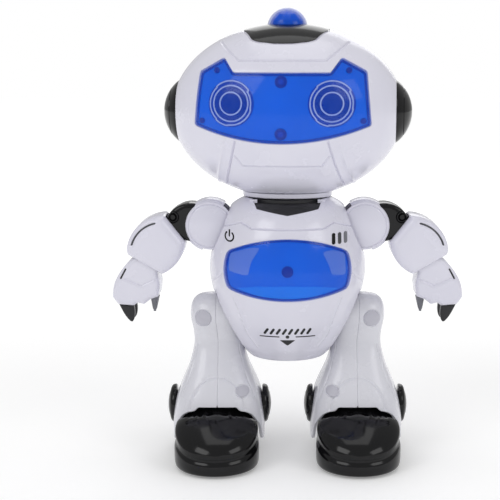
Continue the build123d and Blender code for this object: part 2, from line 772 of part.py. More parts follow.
def leg_shells():
    """Outer and inner halves of the leg: hip knuckle, shin and the flared gaiter over the shoe."""
    with BuildPart() as whole:
        add(leg_loft(0))
        with BuildSketch(Plane.YZ.offset(27.2)):
            with Locations((0, HIP_Z)):
                Circle(KNUCKLE_R)
        knuckle = extrude(amount=32)
        fillet(knuckle.edges().filter_by(GeomType.CIRCLE).sort_by(Axis.X)[-1], 5)
        for x in (LEG_X - 26.4, LEG_X + 26.4):
            with Locations(Location((x, 0, ANKLE_Z), (0, 90, 0))):
                Cylinder(9.5, 3.4)
        add(leg_loft(WALL), mode=Mode.SUBTRACT)
        # room for the toe and the heel
        with BuildSketch(Plane.YZ):
            for side in (1, -1):
                with BuildLine():
                    Polyline(
                        (side * 45, 0), (side * 45, 31), (side * 20.5, 31), (side * 14, 9), (side * 14, 0),
                        close=True,
                    )
                make_face()
        extrude(amount=90, mode=Mode.SUBTRACT)
        with BuildSketch(Plane.XZ.offset(14)):
            with Locations((LEG_X, 31)):
                Trapezoid(30, 3.6, 62, align=(Align.CENTER, Align.MIN))
        extrude(amount=40, mode=Mode.SUBTRACT)
        # bores for the hip pin and the ankle pins
        with Locations(Location((LEG_X - 1, 0, HIP_Z), (0, 90, 0))):
            Cylinder(HIP_PIN_R + RUN, 30, mode=Mode.SUBTRACT)
        with Locations(Location((LEG_X, 0, ANKLE_Z), (0, 90, 0))):
            Cylinder(ANKLE_PIN_R + RUN, 54.4, mode=Mode.SUBTRACT)
    halves = {}
    for name, keep in (("leg_inner_shell", Keep.BOTTOM), ("leg_outer_shell", Keep.TOP)):
        with BuildPart() as half:
            add(whole.part)
            split(bisect_by=Plane.YZ.offset(LEG_X), keep=keep)
        halves[name] = half
    return halves


def ankle_caps():
    """Black round caps over the ankle pins, one on each side of the leg."""
    with BuildPart() as caps:
        for side in (1, -1):
            face = Plane((LEG_X + side * 28.1, 0, ANKLE_Z), x_dir=(0, 1, 0), z_dir=(side, 0, 0))
            with BuildSketch(face):
                Circle(ANKLE_CAP_R)
            cap = extrude(amount=3.8)
            rim = cap.edges().filter_by(GeomType.CIRCLE).sort_by(Axis.X)[-1 if side > 0 else 0]
            fillet(rim, 2.4)
    return caps


# --- foot ----------------------------------------------------------------------------------------
def shoe_body(distance):
    """Solid shoe: its plan, side and front outlines all at once, smaller all round by distance."""
    half_x, toe_y, heel_y = SHOE_HALF_X - distance, TOE_Y + distance, HEEL_Y - distance
    with BuildPart() as body:
        with BuildSketch(Plane.XY.offset(SOLE_Z)):
            with BuildLine():
                ThreePointArc((-half_x, -34), (0, toe_y), (half_x, -34))
                Line((half_x, -34), (half_x - 2, 22))
                ThreePointArc((half_x - 2, 22), (0, heel_y), (2 - half_x, 22))
                Line((2 - half_x, 22), (-half_x, -34))
            make_face()
        extrude(amount=60)
        with BuildSketch(Plane.YZ.offset(-40)):
            with BuildLine():
                d = distance
                Polyline((toe_y + 1, SOLE_Z), (toe_y - 1, 8), (toe_y, 13 - d), (-50, 20.5 - d),
                         (-40, 25.6 - d),
                         (-29, 26.8 - d), (-24.5, 27.4 - d), (-20.5, 36 - d), (-10, 44 - d), (10, 44 - d),
                         (20.5, 36 - d), (24.5, 27.4 - d), (33, 25 - d), (heel_y + 1, 17),
                         (heel_y + 1, SOLE_Z),
                         close=True)
            make_face()
        extrude(amount=80, mode=Mode.INTERSECT)
        with BuildSketch(Plane.XZ.offset(-80)):
            with BuildLine():
                top = 46 - distance
                Polyline((-half_x, 14), (-half_x, 0), (half_x, 0), (half_x, 14))
                EllipticalCenterArc((0, 14), half_x, top - 14, start_angle=0, arc_size=180)
            make_face()
        extrude(amount=160, mode=Mode.INTERSECT)
    return body.part


def shoe_upper():
    """Black shoe shell with its two ankle pins."""
    with BuildPart() as upper:
        add(shoe_body(0))
        add(Pos(0, 0, -0.01) * shoe_body(WALL), mode=Mode.SUBTRACT)
        for side in (1, -1):
            with Locations(Location((side * 22.5, 0, ANKLE_Z), (0, 90, 0))):
                Cylinder(ANKLE_PIN_R, 8.0)
    upper.part.position += (LEG_X, 0, 0)
    return upper


def shoe_sole():
    """Sole plate that closes the shoe, with slots for the wheels and seats for the axle."""
    with BuildPart() as sole:
        add(shoe_body(WALL + FIT))
        with Locations((0, 0, SOLE_Z + 2 + 40)):
            Box(80, 140, 80, mode=Mode.SUBTRACT)
        for x in (-WHEEL_X, WHEEL_X):
            with Locations((x, WHEEL_Y, 2)):
                Box(6.4, 20, 8, mode=Mode.SUBTRACT)
        with Locations((-5.5, WHEEL_Y, 2)):
            Box(5.4, 19.6, 8, mode=Mode.SUBTRACT)
        for x in (-SEAT_X, SEAT_X):
            with Locations((x, WHEEL_Y, SOLE_Z + 6.4)):
                Box(2.0, 6.4, 10.5)
        with Locations(Location((0, WHEEL_Y, WHEEL_R), (0, 90, 0))):
            Cylinder(1.5 + RUN, 60, mode=Mode.SUBTRACT)
    sole.part.position += (LEG_X, 0, 0)
    return sole


def toe_glide():
    """Low-friction pad under the toe, flush with the bottom of the wheels."""
    with BuildPart() as glide:
        with BuildSketch(Plane.XY):
            with Locations((LEG_X, -38)):
                RectangleRounded(24, 14, 4)
        extrude(amount=SOLE_Z)
    return glide


def foot_motor():
    """Small can motor across the foot, with its shaft towards the gear."""
    motor_y, motor_z = motor_place()
    with BuildPart() as motor:
        with Locations(Location((LEG_X + 6.2, motor_y, motor_z), (0, 90, 0))):
            Cylinder(7.6, 12.4)
        with Locations(Location((LEG_X - 0.8, motor_y, motor_z), (0, 90, 0))):
            Cylinder(3.0, 1.6)
    return motor


def motor_place():
    """Where the motor's axis crosses the side view, as (y, z): in mesh above and ahead of the axle."""
    centres = MODULE * (GEAR_TEETH + PINION_TEETH) / 2
    slope = radians(100)
    return WHEEL_Y + centres * cos(slope), WHEEL_R + centres * sin(slope)


def motor_pinion():
    """Pinion and motor shaft."""
    y, z = motor_place()
    phase = 180 / PINION_TEETH
    with BuildPart() as pinion:
        add(Pos(LEG_X - 7.6, y, z) * Rot(100 + 180 + phase, 0, 0) * spur_gear(PINION_TEETH, 4.2, 0.9))
        with Locations(Location((LEG_X - 4.7, y, z), (0, 90, 0))):
            Cylinder(0.9, 6.0)
    return pinion


def drive_wheels():
    """Axle with two wheel hubs and the driven gear."""
    with BuildPart() as wheels:
        with Locations(Location((LEG_X, WHEEL_Y, WHEEL_R), (0, 90, 0))):
            Cylinder(1.5, 2 * WHEEL_X + TYRE_WIDTH)
        for x in (-WHEEL_X, WHEEL_X):
            with Locations(Location((LEG_X + x, WHEEL_Y, WHEEL_R), (0, 90, 0))):
                Cylinder(6.4, TYRE_WIDTH + 0.4)
        add(Pos(LEG_X - 7.4, WHEEL_Y, WHEEL_R) * Rot(100, 0, 0) * spur_gear(GEAR_TEETH, 3.8, 1.4))
    return wheels


def drive_tyres():
    """Two rubber tyres."""
    with BuildPart() as tyres:
        for x in (-WHEEL_X, WHEEL_X):
            with Locations(Location((LEG_X + x, WHEEL_Y, WHEEL_R), (0, 90, 0))):
                Cylinder(WHEEL_R, TYRE_WIDTH)
                Cylinder(6.4, TYRE_WIDTH, mode=Mode.SUBTRACT)
    return tyres


# --- write everything ----------------------------------------------------------------------------
def main():
    os.makedirs("parts", exist_ok=True)
    for name, half in head_shells().items():
        save(half, name, on_head=True)
    for make in (visor, crown_cap, dome_lamp, eye_light_board, neck_ring, head_screws):
        save(make(), make.__name__, on_head=True)
    cap = ear_cap()
    save(cap, "ear_cap_left", on_head=True)
    with BuildPart() as mirrored:
        add(mirror(cap.part, about=Plane.YZ))
    save(mirrored, "ear_cap_right", on_head=True)
    for name, half in torso_shells().items():
        save(half, name)
    for make in (chest_lens, chest_light_board, neck_collar, pelvis_frame, hip_pin, battery_box,
                 battery_cells,
                 battery_cover, main_circuit_board, speaker, power_switch_knob, torso_screws):
        save(make(), make.__name__)
    for make in (shoulder_yoke, shoulder_block, claw_fingers, thumb, ankle_caps, shoe_upper, shoe_sole,
                 toe_glide, foot_motor, motor_pinion, drive_wheels, drive_tyres):
        save_pair(make(), make.__name__)
    for make in (upper_arm_shells, forearm_shells, leg_shells):
        for name, half in make().items():
            save_pair(half, name)


main()
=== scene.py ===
from math import acos, asin, ceil, cos, degrees, hypot, pi, radians, sin, sqrt

import bmesh
import bpy
import numpy as np
from mathutils import Matrix, Vector
from mathutils.geometry import delaunay_2d_cdt


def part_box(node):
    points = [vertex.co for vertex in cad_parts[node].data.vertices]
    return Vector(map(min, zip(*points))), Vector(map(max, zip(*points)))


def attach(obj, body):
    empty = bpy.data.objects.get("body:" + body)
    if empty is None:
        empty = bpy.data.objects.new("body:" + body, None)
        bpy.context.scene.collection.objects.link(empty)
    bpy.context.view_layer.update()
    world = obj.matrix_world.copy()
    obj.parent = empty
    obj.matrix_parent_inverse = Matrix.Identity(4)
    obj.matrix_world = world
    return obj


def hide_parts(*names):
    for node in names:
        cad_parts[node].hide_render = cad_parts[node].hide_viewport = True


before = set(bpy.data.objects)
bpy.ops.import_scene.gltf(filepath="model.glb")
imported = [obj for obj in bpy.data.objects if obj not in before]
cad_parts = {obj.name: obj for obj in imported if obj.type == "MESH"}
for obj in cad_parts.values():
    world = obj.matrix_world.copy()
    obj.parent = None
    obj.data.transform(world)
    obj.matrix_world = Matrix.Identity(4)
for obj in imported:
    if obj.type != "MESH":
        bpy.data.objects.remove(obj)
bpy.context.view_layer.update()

# All shapes below are worked out in millimetres about the robot's own upright axis, which stands at
# y = AXIS_Y, and are moved and scaled when their mesh is made. The head is turned a little about it.
MM = 0.001
PIN_LOW, PIN_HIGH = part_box("hip_pin")
AXIS_Y = (PIN_LOW[1] + PIN_HIGH[1]) / 2 / MM
HEAD_TURN = radians(-4.5)

HEAD_Z, HEAD_A, HEAD_B = 208.0, 69.0, 51.5
HEAD_SEAM_Y, HEAD_FLOOR_Z = 12.0, 160.6
TORSO_SIDE = [(25, 157.5), (33, 153.2), (40.6, 142), (45.6, 127.5), (47.2, 112.5), (44.0, 97), (38, 82),
              (30.5, 68), (23, 60.5)]
SHOULDER_X, SHOULDER_Z, SHOULDER_R, SOCKET_R = 46.4, 140.3, 16.0, 17.4
ELBOW_X, ELBOW_Z = 82.3, 121.9
LEG_X, ANKLE_Z = 42.0, 28.0
SIDES = (("left", 1), ("right", -1))


# --- curves and regions in the plane -------------------------------------------------------------
def spline(xs, ys):
    """Natural cubic spline through the points, as a function of arrays."""
    xs, ys = np.array(xs, float), np.array(ys, float)
    n = len(xs)
    h = np.diff(xs)
    a = np.eye(n)
    b = np.zeros(n)
    for i in range(1, n - 1):
        a[i, i - 1:i + 2] = h[i - 1], 2 * (h[i - 1] + h[i]), h[i]
        b[i] = 6 * ((ys[i + 1] - ys[i]) / h[i] - (ys[i] - ys[i - 1]) / h[i - 1])
    m = np.linalg.solve(a, b)

    def at(x):
        x = np.clip(np.asarray(x, float), xs[0], xs[-1])
        i = np.clip(np.searchsorted(xs, x) - 1, 0, n - 2)
        u, v = xs[i + 1] - x, x - xs[i]
        return ((m[i] * u**3 + m[i + 1] * v**3) / (6 * h[i]) + (ys[i] / h[i] - m[i] * h[i] / 6) * u
                + (ys[i + 1] / h[i] - m[i + 1] * h[i] / 6) * v)

    return at


def resample(points, step, closed=True):
    """The same line with points no further apart than step."""
    points = np.array(points, float)
    ends = np.roll(points, -1, axis=0) if closed else points[1:]
    out = []
    for p, q in zip(points, ends):
        count = max(1, int(ceil(np.linalg.norm(q - p) / step)))
        out.extend(p + (q - p) * k / count for k in range(count))
    if not closed:
        out.append(points[-1])
    return np.array(out)


def arc(centre, radius, start, end, count=24):
    """Points on an arc, with angles in degrees."""
    angles = np.radians(np.linspace(start, end, count))
    return [(centre[0] + radius * cos(t), centre[1] + radius * sin(t)) for t in angles]


def circle(centre, radius, count=48):
    return np.array(arc(centre, radius, 0, 360 * (1 - 1 / count), count))


def three_point(p, q, r, count=14):
    """An arc from p through q to r, without its last point."""
    (ax, ay), (bx, by), (cx, cy) = p, q, r
    d = 2 * (ax * (by - cy) + bx * (cy - ay) + cx * (ay - by))
    ux = ((ax**2 + ay**2) * (by - cy) + (bx**2 + by**2) * (cy - ay) + (cx**2 + cy**2) * (ay - by)) / d
    uy = ((ax**2 + ay**2) * (cx - bx) + (bx**2 + by**2) * (ax - cx) + (cx**2 + cy**2) * (bx - ax)) / d
    start, mid, end = (np.arctan2(y - uy, x - ux) for x, y in (p, q, r))
    turn = (end - start) % (2 * pi)
    if (mid - start) % (2 * pi) > turn:
        turn -= 2 * pi
    radius = hypot(ax - ux, ay - uy)
    return [(ux + radius * cos(start + turn * k / count), uy + radius * sin(start + turn * k / count))
            for k in range(count)]


def both_sides(half):
    """A closed outline from its right half, given from top to bottom."""
    return list(half) + [(-x, y) for x, y in reversed(list(half)) if x > 1e-6]


def offset_line(points, distance, closed=True):
    """The line moved sideways by distance, to its left if positive."""
    p = np.array(points, float)
    if closed:
        before, after = np.roll(p, 1, axis=0), np.roll(p, -1, axis=0)
    else:
        before, after = np.vstack([p[:1], p[:-1]]), np.vstack([p[1:], p[-1:]])
    along = after - before
    along /= np.maximum(np.linalg.norm(along, axis=1), 1e-9)[:, None]
    return p + distance * np.stack([-along[:, 1], along[:, 0]], axis=1)


def inside(points, loop):
    """Which points lie inside a closed loop."""
    x, y = points[:, 0][:, None], points[:, 1][:, None]
    a, b = np.asarray(loop, float), np.roll(np.asarray(loop, float), -1, axis=0)
    cross = (a[:, 1] > y) != (b[:, 1] > y)
    with np.errstate(divide="ignore", invalid="ignore"):
        reach = (b[:, 0] - a[:, 0]) * (y - a[:, 1]) / (b[:, 1] - a[:, 1]) + a[:, 0]
    return (np.sum(cross & (x < reach), axis=1) % 2).astype(bool)


def distance_to(points, starts, ends, limit=20.0):
    """Each point's distance to the nearest of the segments, or the limit if none is nearer."""
    out = np.full(len(points), float(limit))
    for k in range(0, len(starts), 24):
        a, b = starts[k:k + 24], ends[k:k + 24]
        low, high = np.minimum(a, b).min(axis=0) - limit, np.maximum(a, b).max(axis=0) + limit
        near = np.nonzero(((points > low) & (points < high)).all(axis=1))[0]
        if len(near):
            d = b - a
            size = np.maximum((d**2).sum(axis=1), 1e-12)
            p = points[near][:, None, :]
            t = np.clip(((p - a) * d).sum(axis=2) / size, 0, 1)
            gap = p - (a + t[:, :, None] * d)
            out[near] = np.minimum(out[near], np.sqrt((gap**2).sum(axis=2).min(axis=1)))
    return out


def line_segments(lines):
    """Starts and ends of the segments of some (points, closed) lines."""
    starts, ends = [], []
    for points, closed in lines:
        p = np.asarray(points, float)
        starts.append(p if closed else p[:-1])
        ends.append(np.roll(p, -1, axis=0) if closed else p[1:])
    if not starts:
        return np.zeros((0, 2)), np.zeros((0, 2))
    return np.vstack(starts), np.vstack(ends)


class Region:
    """A flat region with holes, cut into triangles that follow its rims and its grooves."""

    def __init__(self, outer, holes=(), grooves=(), step=2.2, bands=(), edge_step=1.1):
        loops = [resample(loop, edge_step) for loop in (outer, *holes)]
        lines = [(loop, True) for loop in loops]
        for band in bands:
            for loop in loops:
                lines += [(offset_line(loop, side * band), True) for side in (-1, 1)]
        for points, closed, half_width in grooves:
            dense = resample(points, edge_step, closed)
            for share in (-1, -0.5, 0, 0.5, 1):
                lines.append((offset_line(dense, share * half_width, closed), closed))
        self.loops, self.holes = loops, loops[1:]
        verts, edges = [], []
        for k, (points, closed) in enumerate(lines):
            keep = np.ones(len(points), bool) if k < len(loops) else self.contains(points)
            first = len(verts)
            verts += [Vector((x, y)) for x, y in points]
            last = len(points) if closed else len(points) - 1
            for i in range(last):
                j = (i + 1) % len(points)
                if keep[i] and keep[j]:
                    edges.append((first + i, first + j))
        low, high = loops[0].min(axis=0), loops[0].max(axis=0)
        rows = np.arange(low[1], high[1] + step, step * 0.87)
        grid = []
        for r, y in enumerate(rows):
            xs = np.arange(low[0] + (r % 2) * step / 2, high[0] + step, step)
            grid.append(np.stack([xs, np.full(len(xs), y)], axis=1))
        grid = np.vstack(grid)
        grid = grid[self.contains(grid)]
        clear = distance_to(grid, *line_segments(lines), step)
        verts += [Vector((x, y)) for x, y in grid[clear > 0.45 * step]]
        points, _, faces, *_ = delaunay_2d_cdt(verts, edges, [], 0, 1e-4)
        self.points = np.array([(p[0], p[1]) for p in points])
        tris = np.array([f for f in faces if len(f) == 3])
        corner = self.points[tris]
        area = np.cross(corner[:, 1] - corner[:, 0], corner[:, 2] - corner[:, 0])
        tris[area < 0] = tris[area < 0][:, ::-1]
        middle = corner.mean(axis=1)
        keep = self.contains(middle) & (np.abs(area) > 1e-7)
        self.tris = tris[keep]
        used = np.unique(self.tris)
        renumber = np.full(len(self.points), -1)
        renumber[used] = np.arange(len(used))
        self.points, self.tris = self.points[used], renumber[self.tris]
        count = {}
        for tri in self.tris:
            for i in range(3):
                edge = (int(tri[i]), int(tri[(i + 1) % 3]))
                count[edge] = True
        self.rim = np.array([e for e in count if (e[1], e[0]) not in count])

    def contains(self, points):
        """Which points lie in the region."""
        result = inside(points, self.loops[0])
        for hole in self.holes:
            result &= ~inside(points, hole)
        return result

    def rim_distance(self, limit):
        """Each point's distance to the rim, up to a limit."""
        return distance_to(self.points, self.points[self.rim[:, 0]], self.points[self.rim[:, 1]], limit)


# --- meshes --------------------------------------------------------------------------------------
def placed(verts, on_head=False):
    """Points about the robot's axis in millimetres, as points of the frame in metres."""
    verts = np.array(verts, float)
    if on_head:
        c, s = cos(HEAD_TURN), sin(HEAD_TURN)
        x, y = verts[:, 0].copy(), verts[:, 1].copy()
        verts[:, 0], verts[:, 1] = c * x - s * y, s * x + c * y
    verts[:, 1] += AXIS_Y
    return verts * MM


def make_mesh(name, verts, faces, on_head=False, flip=False, sharp=35):
    """A smooth-shaded piece from points in millimetres, with its edges sharp past an angle."""
    mesh = bpy.data.meshes.new(name)
    mesh.from_pydata(placed(verts, on_head).tolist(), [], [tuple(int(i) for i in f) for f in faces])
    if flip:
        mesh.flip_normals()
    mesh.validate()
    mesh.shade_smooth()
    mesh.set_sharp_from_angle(angle=radians(sharp))
    piece = bpy.data.objects.new(name, mesh)
    bpy.context.scene.collection.objects.link(piece)
    return piece


def vertex_normals(verts, tris):
    """Unit normals of a triangle mesh."""
    corner = verts[tris]
    face = np.cross(corner[:, 1] - corner[:, 0], corner[:, 2] - corner[:, 0])
    normals = np.zeros_like(verts)
    for k in range(3):
        np.add.at(normals, tris[:, k], face)
    return normals / np.maximum(np.linalg.norm(normals, axis=1), 1e-12)[:, None]


def thick_skin(name, region, outer, thickness, on_head=False, flip=False, sharp=35, inner=None):
    """A closed skin: the outer surface, its copy inside, and walls along the rim."""
    tris = region.tris
    if inner is None:
        inner = outer - vertex_normals(outer, tris) * (-thickness if flip else thickness)
    n = len(outer)
    faces = [tuple(t) for t in tris] + [tuple(t[::-1] + n) for t in tris]
    faces += [(j, i, i + n, j + n) for i, j in region.rim]
    return make_mesh(name, np.vstack([outer, inner]), faces, on_head, flip, sharp)


def rim_drop(distance, radius):
    """How far a rounded rim falls away at each distance from the edge."""
    d = np.clip(distance, 0, radius)
    return radius - np.sqrt(np.maximum(radius**2 - (radius - d)**2, 0))


def groove_depth(points, grooves):
    """Depth at each point of the (line, closed, half width, depth) grooves; a negative depth is a ridge."""
    total = np.zeros(len(points))
    for line, closed, half_width, depth in grooves:
        gap = distance_to(points, *line_segments([(resample(line, 1.1, closed), closed)]), half_width)
        share = np.clip(1 - gap / half_width, 0, 1)
        total += depth * share * share * (3 - 2 * share)
    return total


RIM_BANDS = (0.08, 0.3, 0.62, 1.0)


def surface_panel(name, surface, outer, holes=(), grooves=(), lift=0.0, thickness=1.6, rim=0.5, step=2.2,
                  on_head=False):
    """A moulded panel of a curved surface, given in the surface's own plane coordinates."""
    lines = [(line, closed, width) for line, closed, width, _ in grooves]
    region = Region(outer, holes, lines, step, [rim * share for share in RIM_BANDS])
    p = region.points
    base = surface(p)
    eps = 0.02
    du = surface(p + (eps, 0)) - surface(p - (eps, 0))
    dv = surface(p + (0, eps)) - surface(p - (0, eps))
    normal = np.cross(du, dv)
    normal /= np.maximum(np.linalg.norm(normal, axis=1), 1e-12)[:, None]
    height = lift - rim_drop(region.rim_distance(rim), rim) - groove_depth(p, grooves)
    return thick_skin(name, region, base + normal * height[:, None], thickness, on_head,
                      inner=base + normal * (lift - thickness))


def face_outwards(piece, sharp=35, merge=False):
    """Turns all faces of a closed piece outwards, and marks its sharp edges again."""
    work = bmesh.new()
    work.from_mesh(piece.data)
    if merge:
        bmesh.ops.remove_doubles(work, verts=work.verts, dist=1e-6)
        bmesh.ops.dissolve_degenerate(work, dist=1e-7, edges=work.edges)
    bmesh.ops.recalc_face_normals(work, faces=work.faces)
    work.to_mesh(piece.data)
    work.free()
    if merge:
        piece.data.shade_smooth()
    piece.data.set_sharp_from_angle(angle=radians(sharp))
    return piece


def lathe(name, profile, centre, axis, start=0, sweep=360, segments=96, on_head=False, sharp=35):
    """A closed profile of (radius, height) points turned about an axis through a centre."""
    axis = Vector(axis).normalized()
    side = axis.orthogonal().normalized()
    other = axis.cross(side)
    full = sweep >= 360
    count = segments if full else segments + 1
    verts, faces = [], []
    n = len(profile)
    for k in range(count):
        t = radians(start + sweep * k / segments)
        out = side * cos(t) + other * sin(t)
        verts += [tuple(Vector(centre) + out * r + axis * h) for r, h in profile]
    for k in range(segments):
        a, b = k * n, ((k + 1) % count) * n
        for i in range(n):
            j = (i + 1) % n
            faces.append((a + i, b + i, b + j, a + j))
    if not full:
        faces += [tuple(range(n)), tuple(range((count - 1) * n, count * n))[::-1]]
    return face_outwards(make_mesh(name, verts, faces, on_head, sharp=sharp), sharp, merge=True)


def mirror_piece(piece, name):
    """The same piece on the robot's other side."""
    mesh = piece.data.copy()
    mesh.name = name
    mesh.transform(Matrix.Scale(-1, 4, (1, 0, 0)))
    mesh.flip_normals()
    twin = bpy.data.objects.new(name, mesh)
    bpy.context.scene.collection.objects.link(twin)
    return twin


def settle(piece, body, slot, material, *nodes):
    """Gives a piece its material and its body, and hides the CAD nodes that it stands for. Its slot is not
    used.
    """
    piece.data.materials.clear()
    piece.data.materials.append(material)
    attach(piece, body)
    if nodes:
        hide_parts(*nodes)
    return piece


def settle_pair(piece, body, slot, material, *nodes):
    """The same for a piece drawn on the robot's left, and for its mirror image on the right."""
    base = piece.name
    twin = mirror_piece(piece, f"{base}_right")
    piece.name = f"{base}_left"
    for (side, _), one in zip(SIDES, (piece, twin)):
        settle(one, f"{body}_{side}", slot, material, *[f"{node}_{side}" for node in nodes])
    return piece, twin


# --- materials -----------------------------------------------------------------------------------
def srgb(r, g, b):
    """A colour from its screen values, 0 to 255."""
    shares = (r / 255, g / 255, b / 255)
    return tuple(v / 12.92 if v <= 0.04045 else ((v + 0.055) / 1.055)**2.4 for v in shares) + (1,)


class Shader:
    """A node material with a Principled shader, built up by small steps."""

    def __init__(self, name):
        self.material = bpy.data.materials.new(name)
        self.material.use_nodes = True
        self.tree = self.material.node_tree
        self.bsdf = self.tree.nodes["Principled BSDF"]
        self.place = self.tree.nodes.new("ShaderNodeTexCoord").outputs["Object"]

    def node(self, kind, **values):
        made = self.tree.nodes.new(kind)
        for key, value in values.items():
            setattr(made, key, value)
        return made

    def link(self, source, target):
        self.tree.links.new(source, target)

    def noise(self, scale, detail=4.0, rough=0.5):
        made = self.node("ShaderNodeTexNoise")
        made.inputs["Scale"].default_value = scale
        made.inputs["Detail"].default_value = detail
        made.inputs["Roughness"].default_value = rough
        self.link(self.place, made.inputs["Vector"])
        return made.outputs["Fac"]

    def spread(self, source, low, high, start=0.3, end=0.7):
        made = self.node("ShaderNodeMapRange")
        for key, value in (("From Min", start), ("From Max", end), ("To Min", low), ("To Max", high)):
            made.inputs[key].default_value = value
        self.link(source, made.inputs["Value"])
        return made.outputs["Result"]

    def mix(self, factor, first, second):
        made = self.node("ShaderNodeMix", data_type="RGBA")
        for socket, value in ((made.inputs[0], factor), (made.inputs[6], first), (made.inputs[7], second)):
            if hasattr(value, "links"):
                self.link(value, socket)
            else:
                socket.default_value = value
        return made.outputs[2]

    def bump(self, source, strength, depth):
        made = self.node("ShaderNodeBump")
        made.inputs["Strength"].default_value = strength
        made.inputs["Distance"].default_value = depth
        self.link(source, made.inputs["Height"])
        self.link(made.outputs["Normal"], self.bsdf.inputs["Normal"])

    def set(self, **values):
        for key, value in values.items():
            self.bsdf.inputs[key.replace("_", " ")].default_value = value


def moulded(name, colour, deep, roughness, coat=0.0, grain=900.0, grain_depth=0.00002, ior=1.46):
    """Moulded plastic: a slightly uneven colour, uneven gloss and a very fine surface grain."""
    s = Shader(name)
    patches = s.spread(s.noise(28.0, 3.0), 0.0, 1.0)
    s.link(s.mix(patches, colour, deep), s.bsdf.inputs["Base Color"])
    s.link(s.spread(s.noise(65.0, 5.0, 0.6), roughness * 0.8, roughness * 1.25), s.bsdf.inputs["Roughness"])
    s.set(IOR=ior, Coat_Weight=coat, Coat_Roughness=0.06)
    s.bump(s.noise(grain, 3.0), 0.35, grain_depth)
    return s.material


def clear_blue(name, colour, deep, alpha):
    """Tinted clear plastic: a strong colour that thickens in patches, seen partly through, under a gloss."""
    s = Shader(name)
    patches = s.spread(s.noise(24.0, 2.0), 0.0, 1.0)
    tint = s.mix(patches, colour, deep)
    s.link(tint, s.bsdf.inputs["Base Color"])
    s.link(s.spread(s.noise(80.0, 4.0), 0.04, 0.09), s.bsdf.inputs["Roughness"])
    s.set(IOR=1.4, Coat_Weight=0.25, Coat_Roughness=0.03, Alpha=alpha)
    s.bump(s.noise(300.0, 2.0), 0.2, 0.00002)
    return s.material


def lit(name, colour, deep, roughness, glow):
    """A coloured board behind a window, lit up a little from its own lamps."""
    s = Shader(name)
    tint = s.mix(s.spread(s.noise(22.0, 3.0), 0.0, 1.0), colour, deep)
    s.link(tint, s.bsdf.inputs["Base Color"])
    s.link(tint, s.bsdf.inputs["Emission Color"])
    s.link(s.spread(s.noise(65.0, 5.0, 0.6), roughness * 0.8, roughness * 1.25), s.bsdf.inputs["Roughness"])
    s.set(Emission_Strength=glow)
    return s.material


def metal(name, colour, roughness):
    s = Shader(name)
    s.link(s.mix(s.spread(s.noise(200.0), 0, 1), colour, tuple(c * 0.8 for c in colour[:3]) + (1,)),
           s.bsdf.inputs["Base Color"])
    s.link(s.spread(s.noise(500.0), roughness * 0.7, roughness * 1.3), s.bsdf.inputs["Roughness"])
    s.set(Metallic=1.0)
    s.bump(s.noise(900.0), 0.3, 0.00002)
    return s.material


def board_green(name):
    """Solder mask with faint copper tracks under it."""
    s = Shader(name)
    tracks = s.node("ShaderNodeTexWave", wave_type="BANDS", bands_direction="DIAGONAL")
    tracks.inputs["Scale"].default_value = 160.0
    tracks.inputs["Distortion"].default_value = 6.0
    s.link(s.place, tracks.inputs["Vector"])
    s.link(s.mix(s.spread(tracks.outputs["Fac"], 0, 1, 0.55, 0.7), (0.01, 0.10, 0.04, 1),
                 (0.03, 0.22, 0.08, 1)),
           s.bsdf.inputs["Base Color"])
    s.link(s.spread(s.noise(90.0), 0.3, 0.5), s.bsdf.inputs["Roughness"])
    return s.material


WHITE = moulded("white_plastic", srgb(226, 225, 237), srgb(221, 220, 233), 0.24, coat=0.35)
SOFT_WHITE = moulded("leg_white_plastic", srgb(226, 226, 233), srgb(221, 221, 229), 0.26, coat=0.3)
GREY_INSET = moulded("inset_grey_plastic", srgb(196, 195, 205), srgb(189, 188, 199), 0.35)
BLACK = moulded("black_gloss_plastic", srgb(9, 9, 11), srgb(15, 15, 17), 0.12, coat=0.1, grain=500.0,
               ior=1.34)
SATIN_BLACK = moulded("satin_black_plastic", srgb(27, 27, 30), srgb(36, 36, 39), 0.36, grain_depth=0.00004)
DARK_GREY = moulded("dark_grey_plastic", srgb(62, 63, 68), srgb(72, 73, 78), 0.34)
MID_GREY = moulded("mid_grey_plastic", srgb(122, 123, 130), srgb(110, 111, 118), 0.34)
RUBBER = moulded("tyre_rubber_black", srgb(30, 30, 30), srgb(44, 43, 42), 0.75, grain=1400.0,
                 grain_depth=0.0001)
WINDOW = clear_blue("blue_window_plastic", srgb(1, 96, 228), srgb(1, 86, 214), 0.22)
WINDOW_DEEP = moulded("deep_blue_plastic", srgb(6, 30, 150), srgb(8, 38, 166), 0.16, coat=0.5)
BACKING = lit("blue_lit_board", srgb(2, 112, 236), srgb(2, 98, 222), 0.5, 0.16)
PUPIL = moulded("dark_blue_disc", srgb(5, 22, 138), srgb(7, 28, 150), 0.3)
RING_WHITE = moulded("ring_white_print", srgb(226, 236, 252), srgb(210, 224, 250), 0.4)
DOME_BLUE = clear_blue("blue_dome_plastic", srgb(3, 96, 232), srgb(2, 82, 218), 0.42)
STEEL = metal("zinc_steel", (0.62, 0.62, 0.64, 1), 0.28)
BOARD = board_green("solder_mask_green")
CELL = moulded("cell_wrap_dark", srgb(40, 44, 52), srgb(58, 62, 72), 0.3)


# --- more shapes ---------------------------------------------------------------------------------
def softened(points, reach, closed=True):
    """A line with its corners softened over a reach on both sides."""
    step = 0.4
    p = resample(points, step, closed)
    count = max(1, int(reach / step))
    for _ in range(2):
        before, after = (p[-count:], p[:count]) if closed else ([p[0]] * count, [p[-1]] * count)
        pad = np.vstack([before, p, after])
        total = np.cumsum(np.vstack([[0, 0], pad]), axis=0)
        width = 2 * count + 1
        p = (total[width:] - total[:-width]) / width
    return p


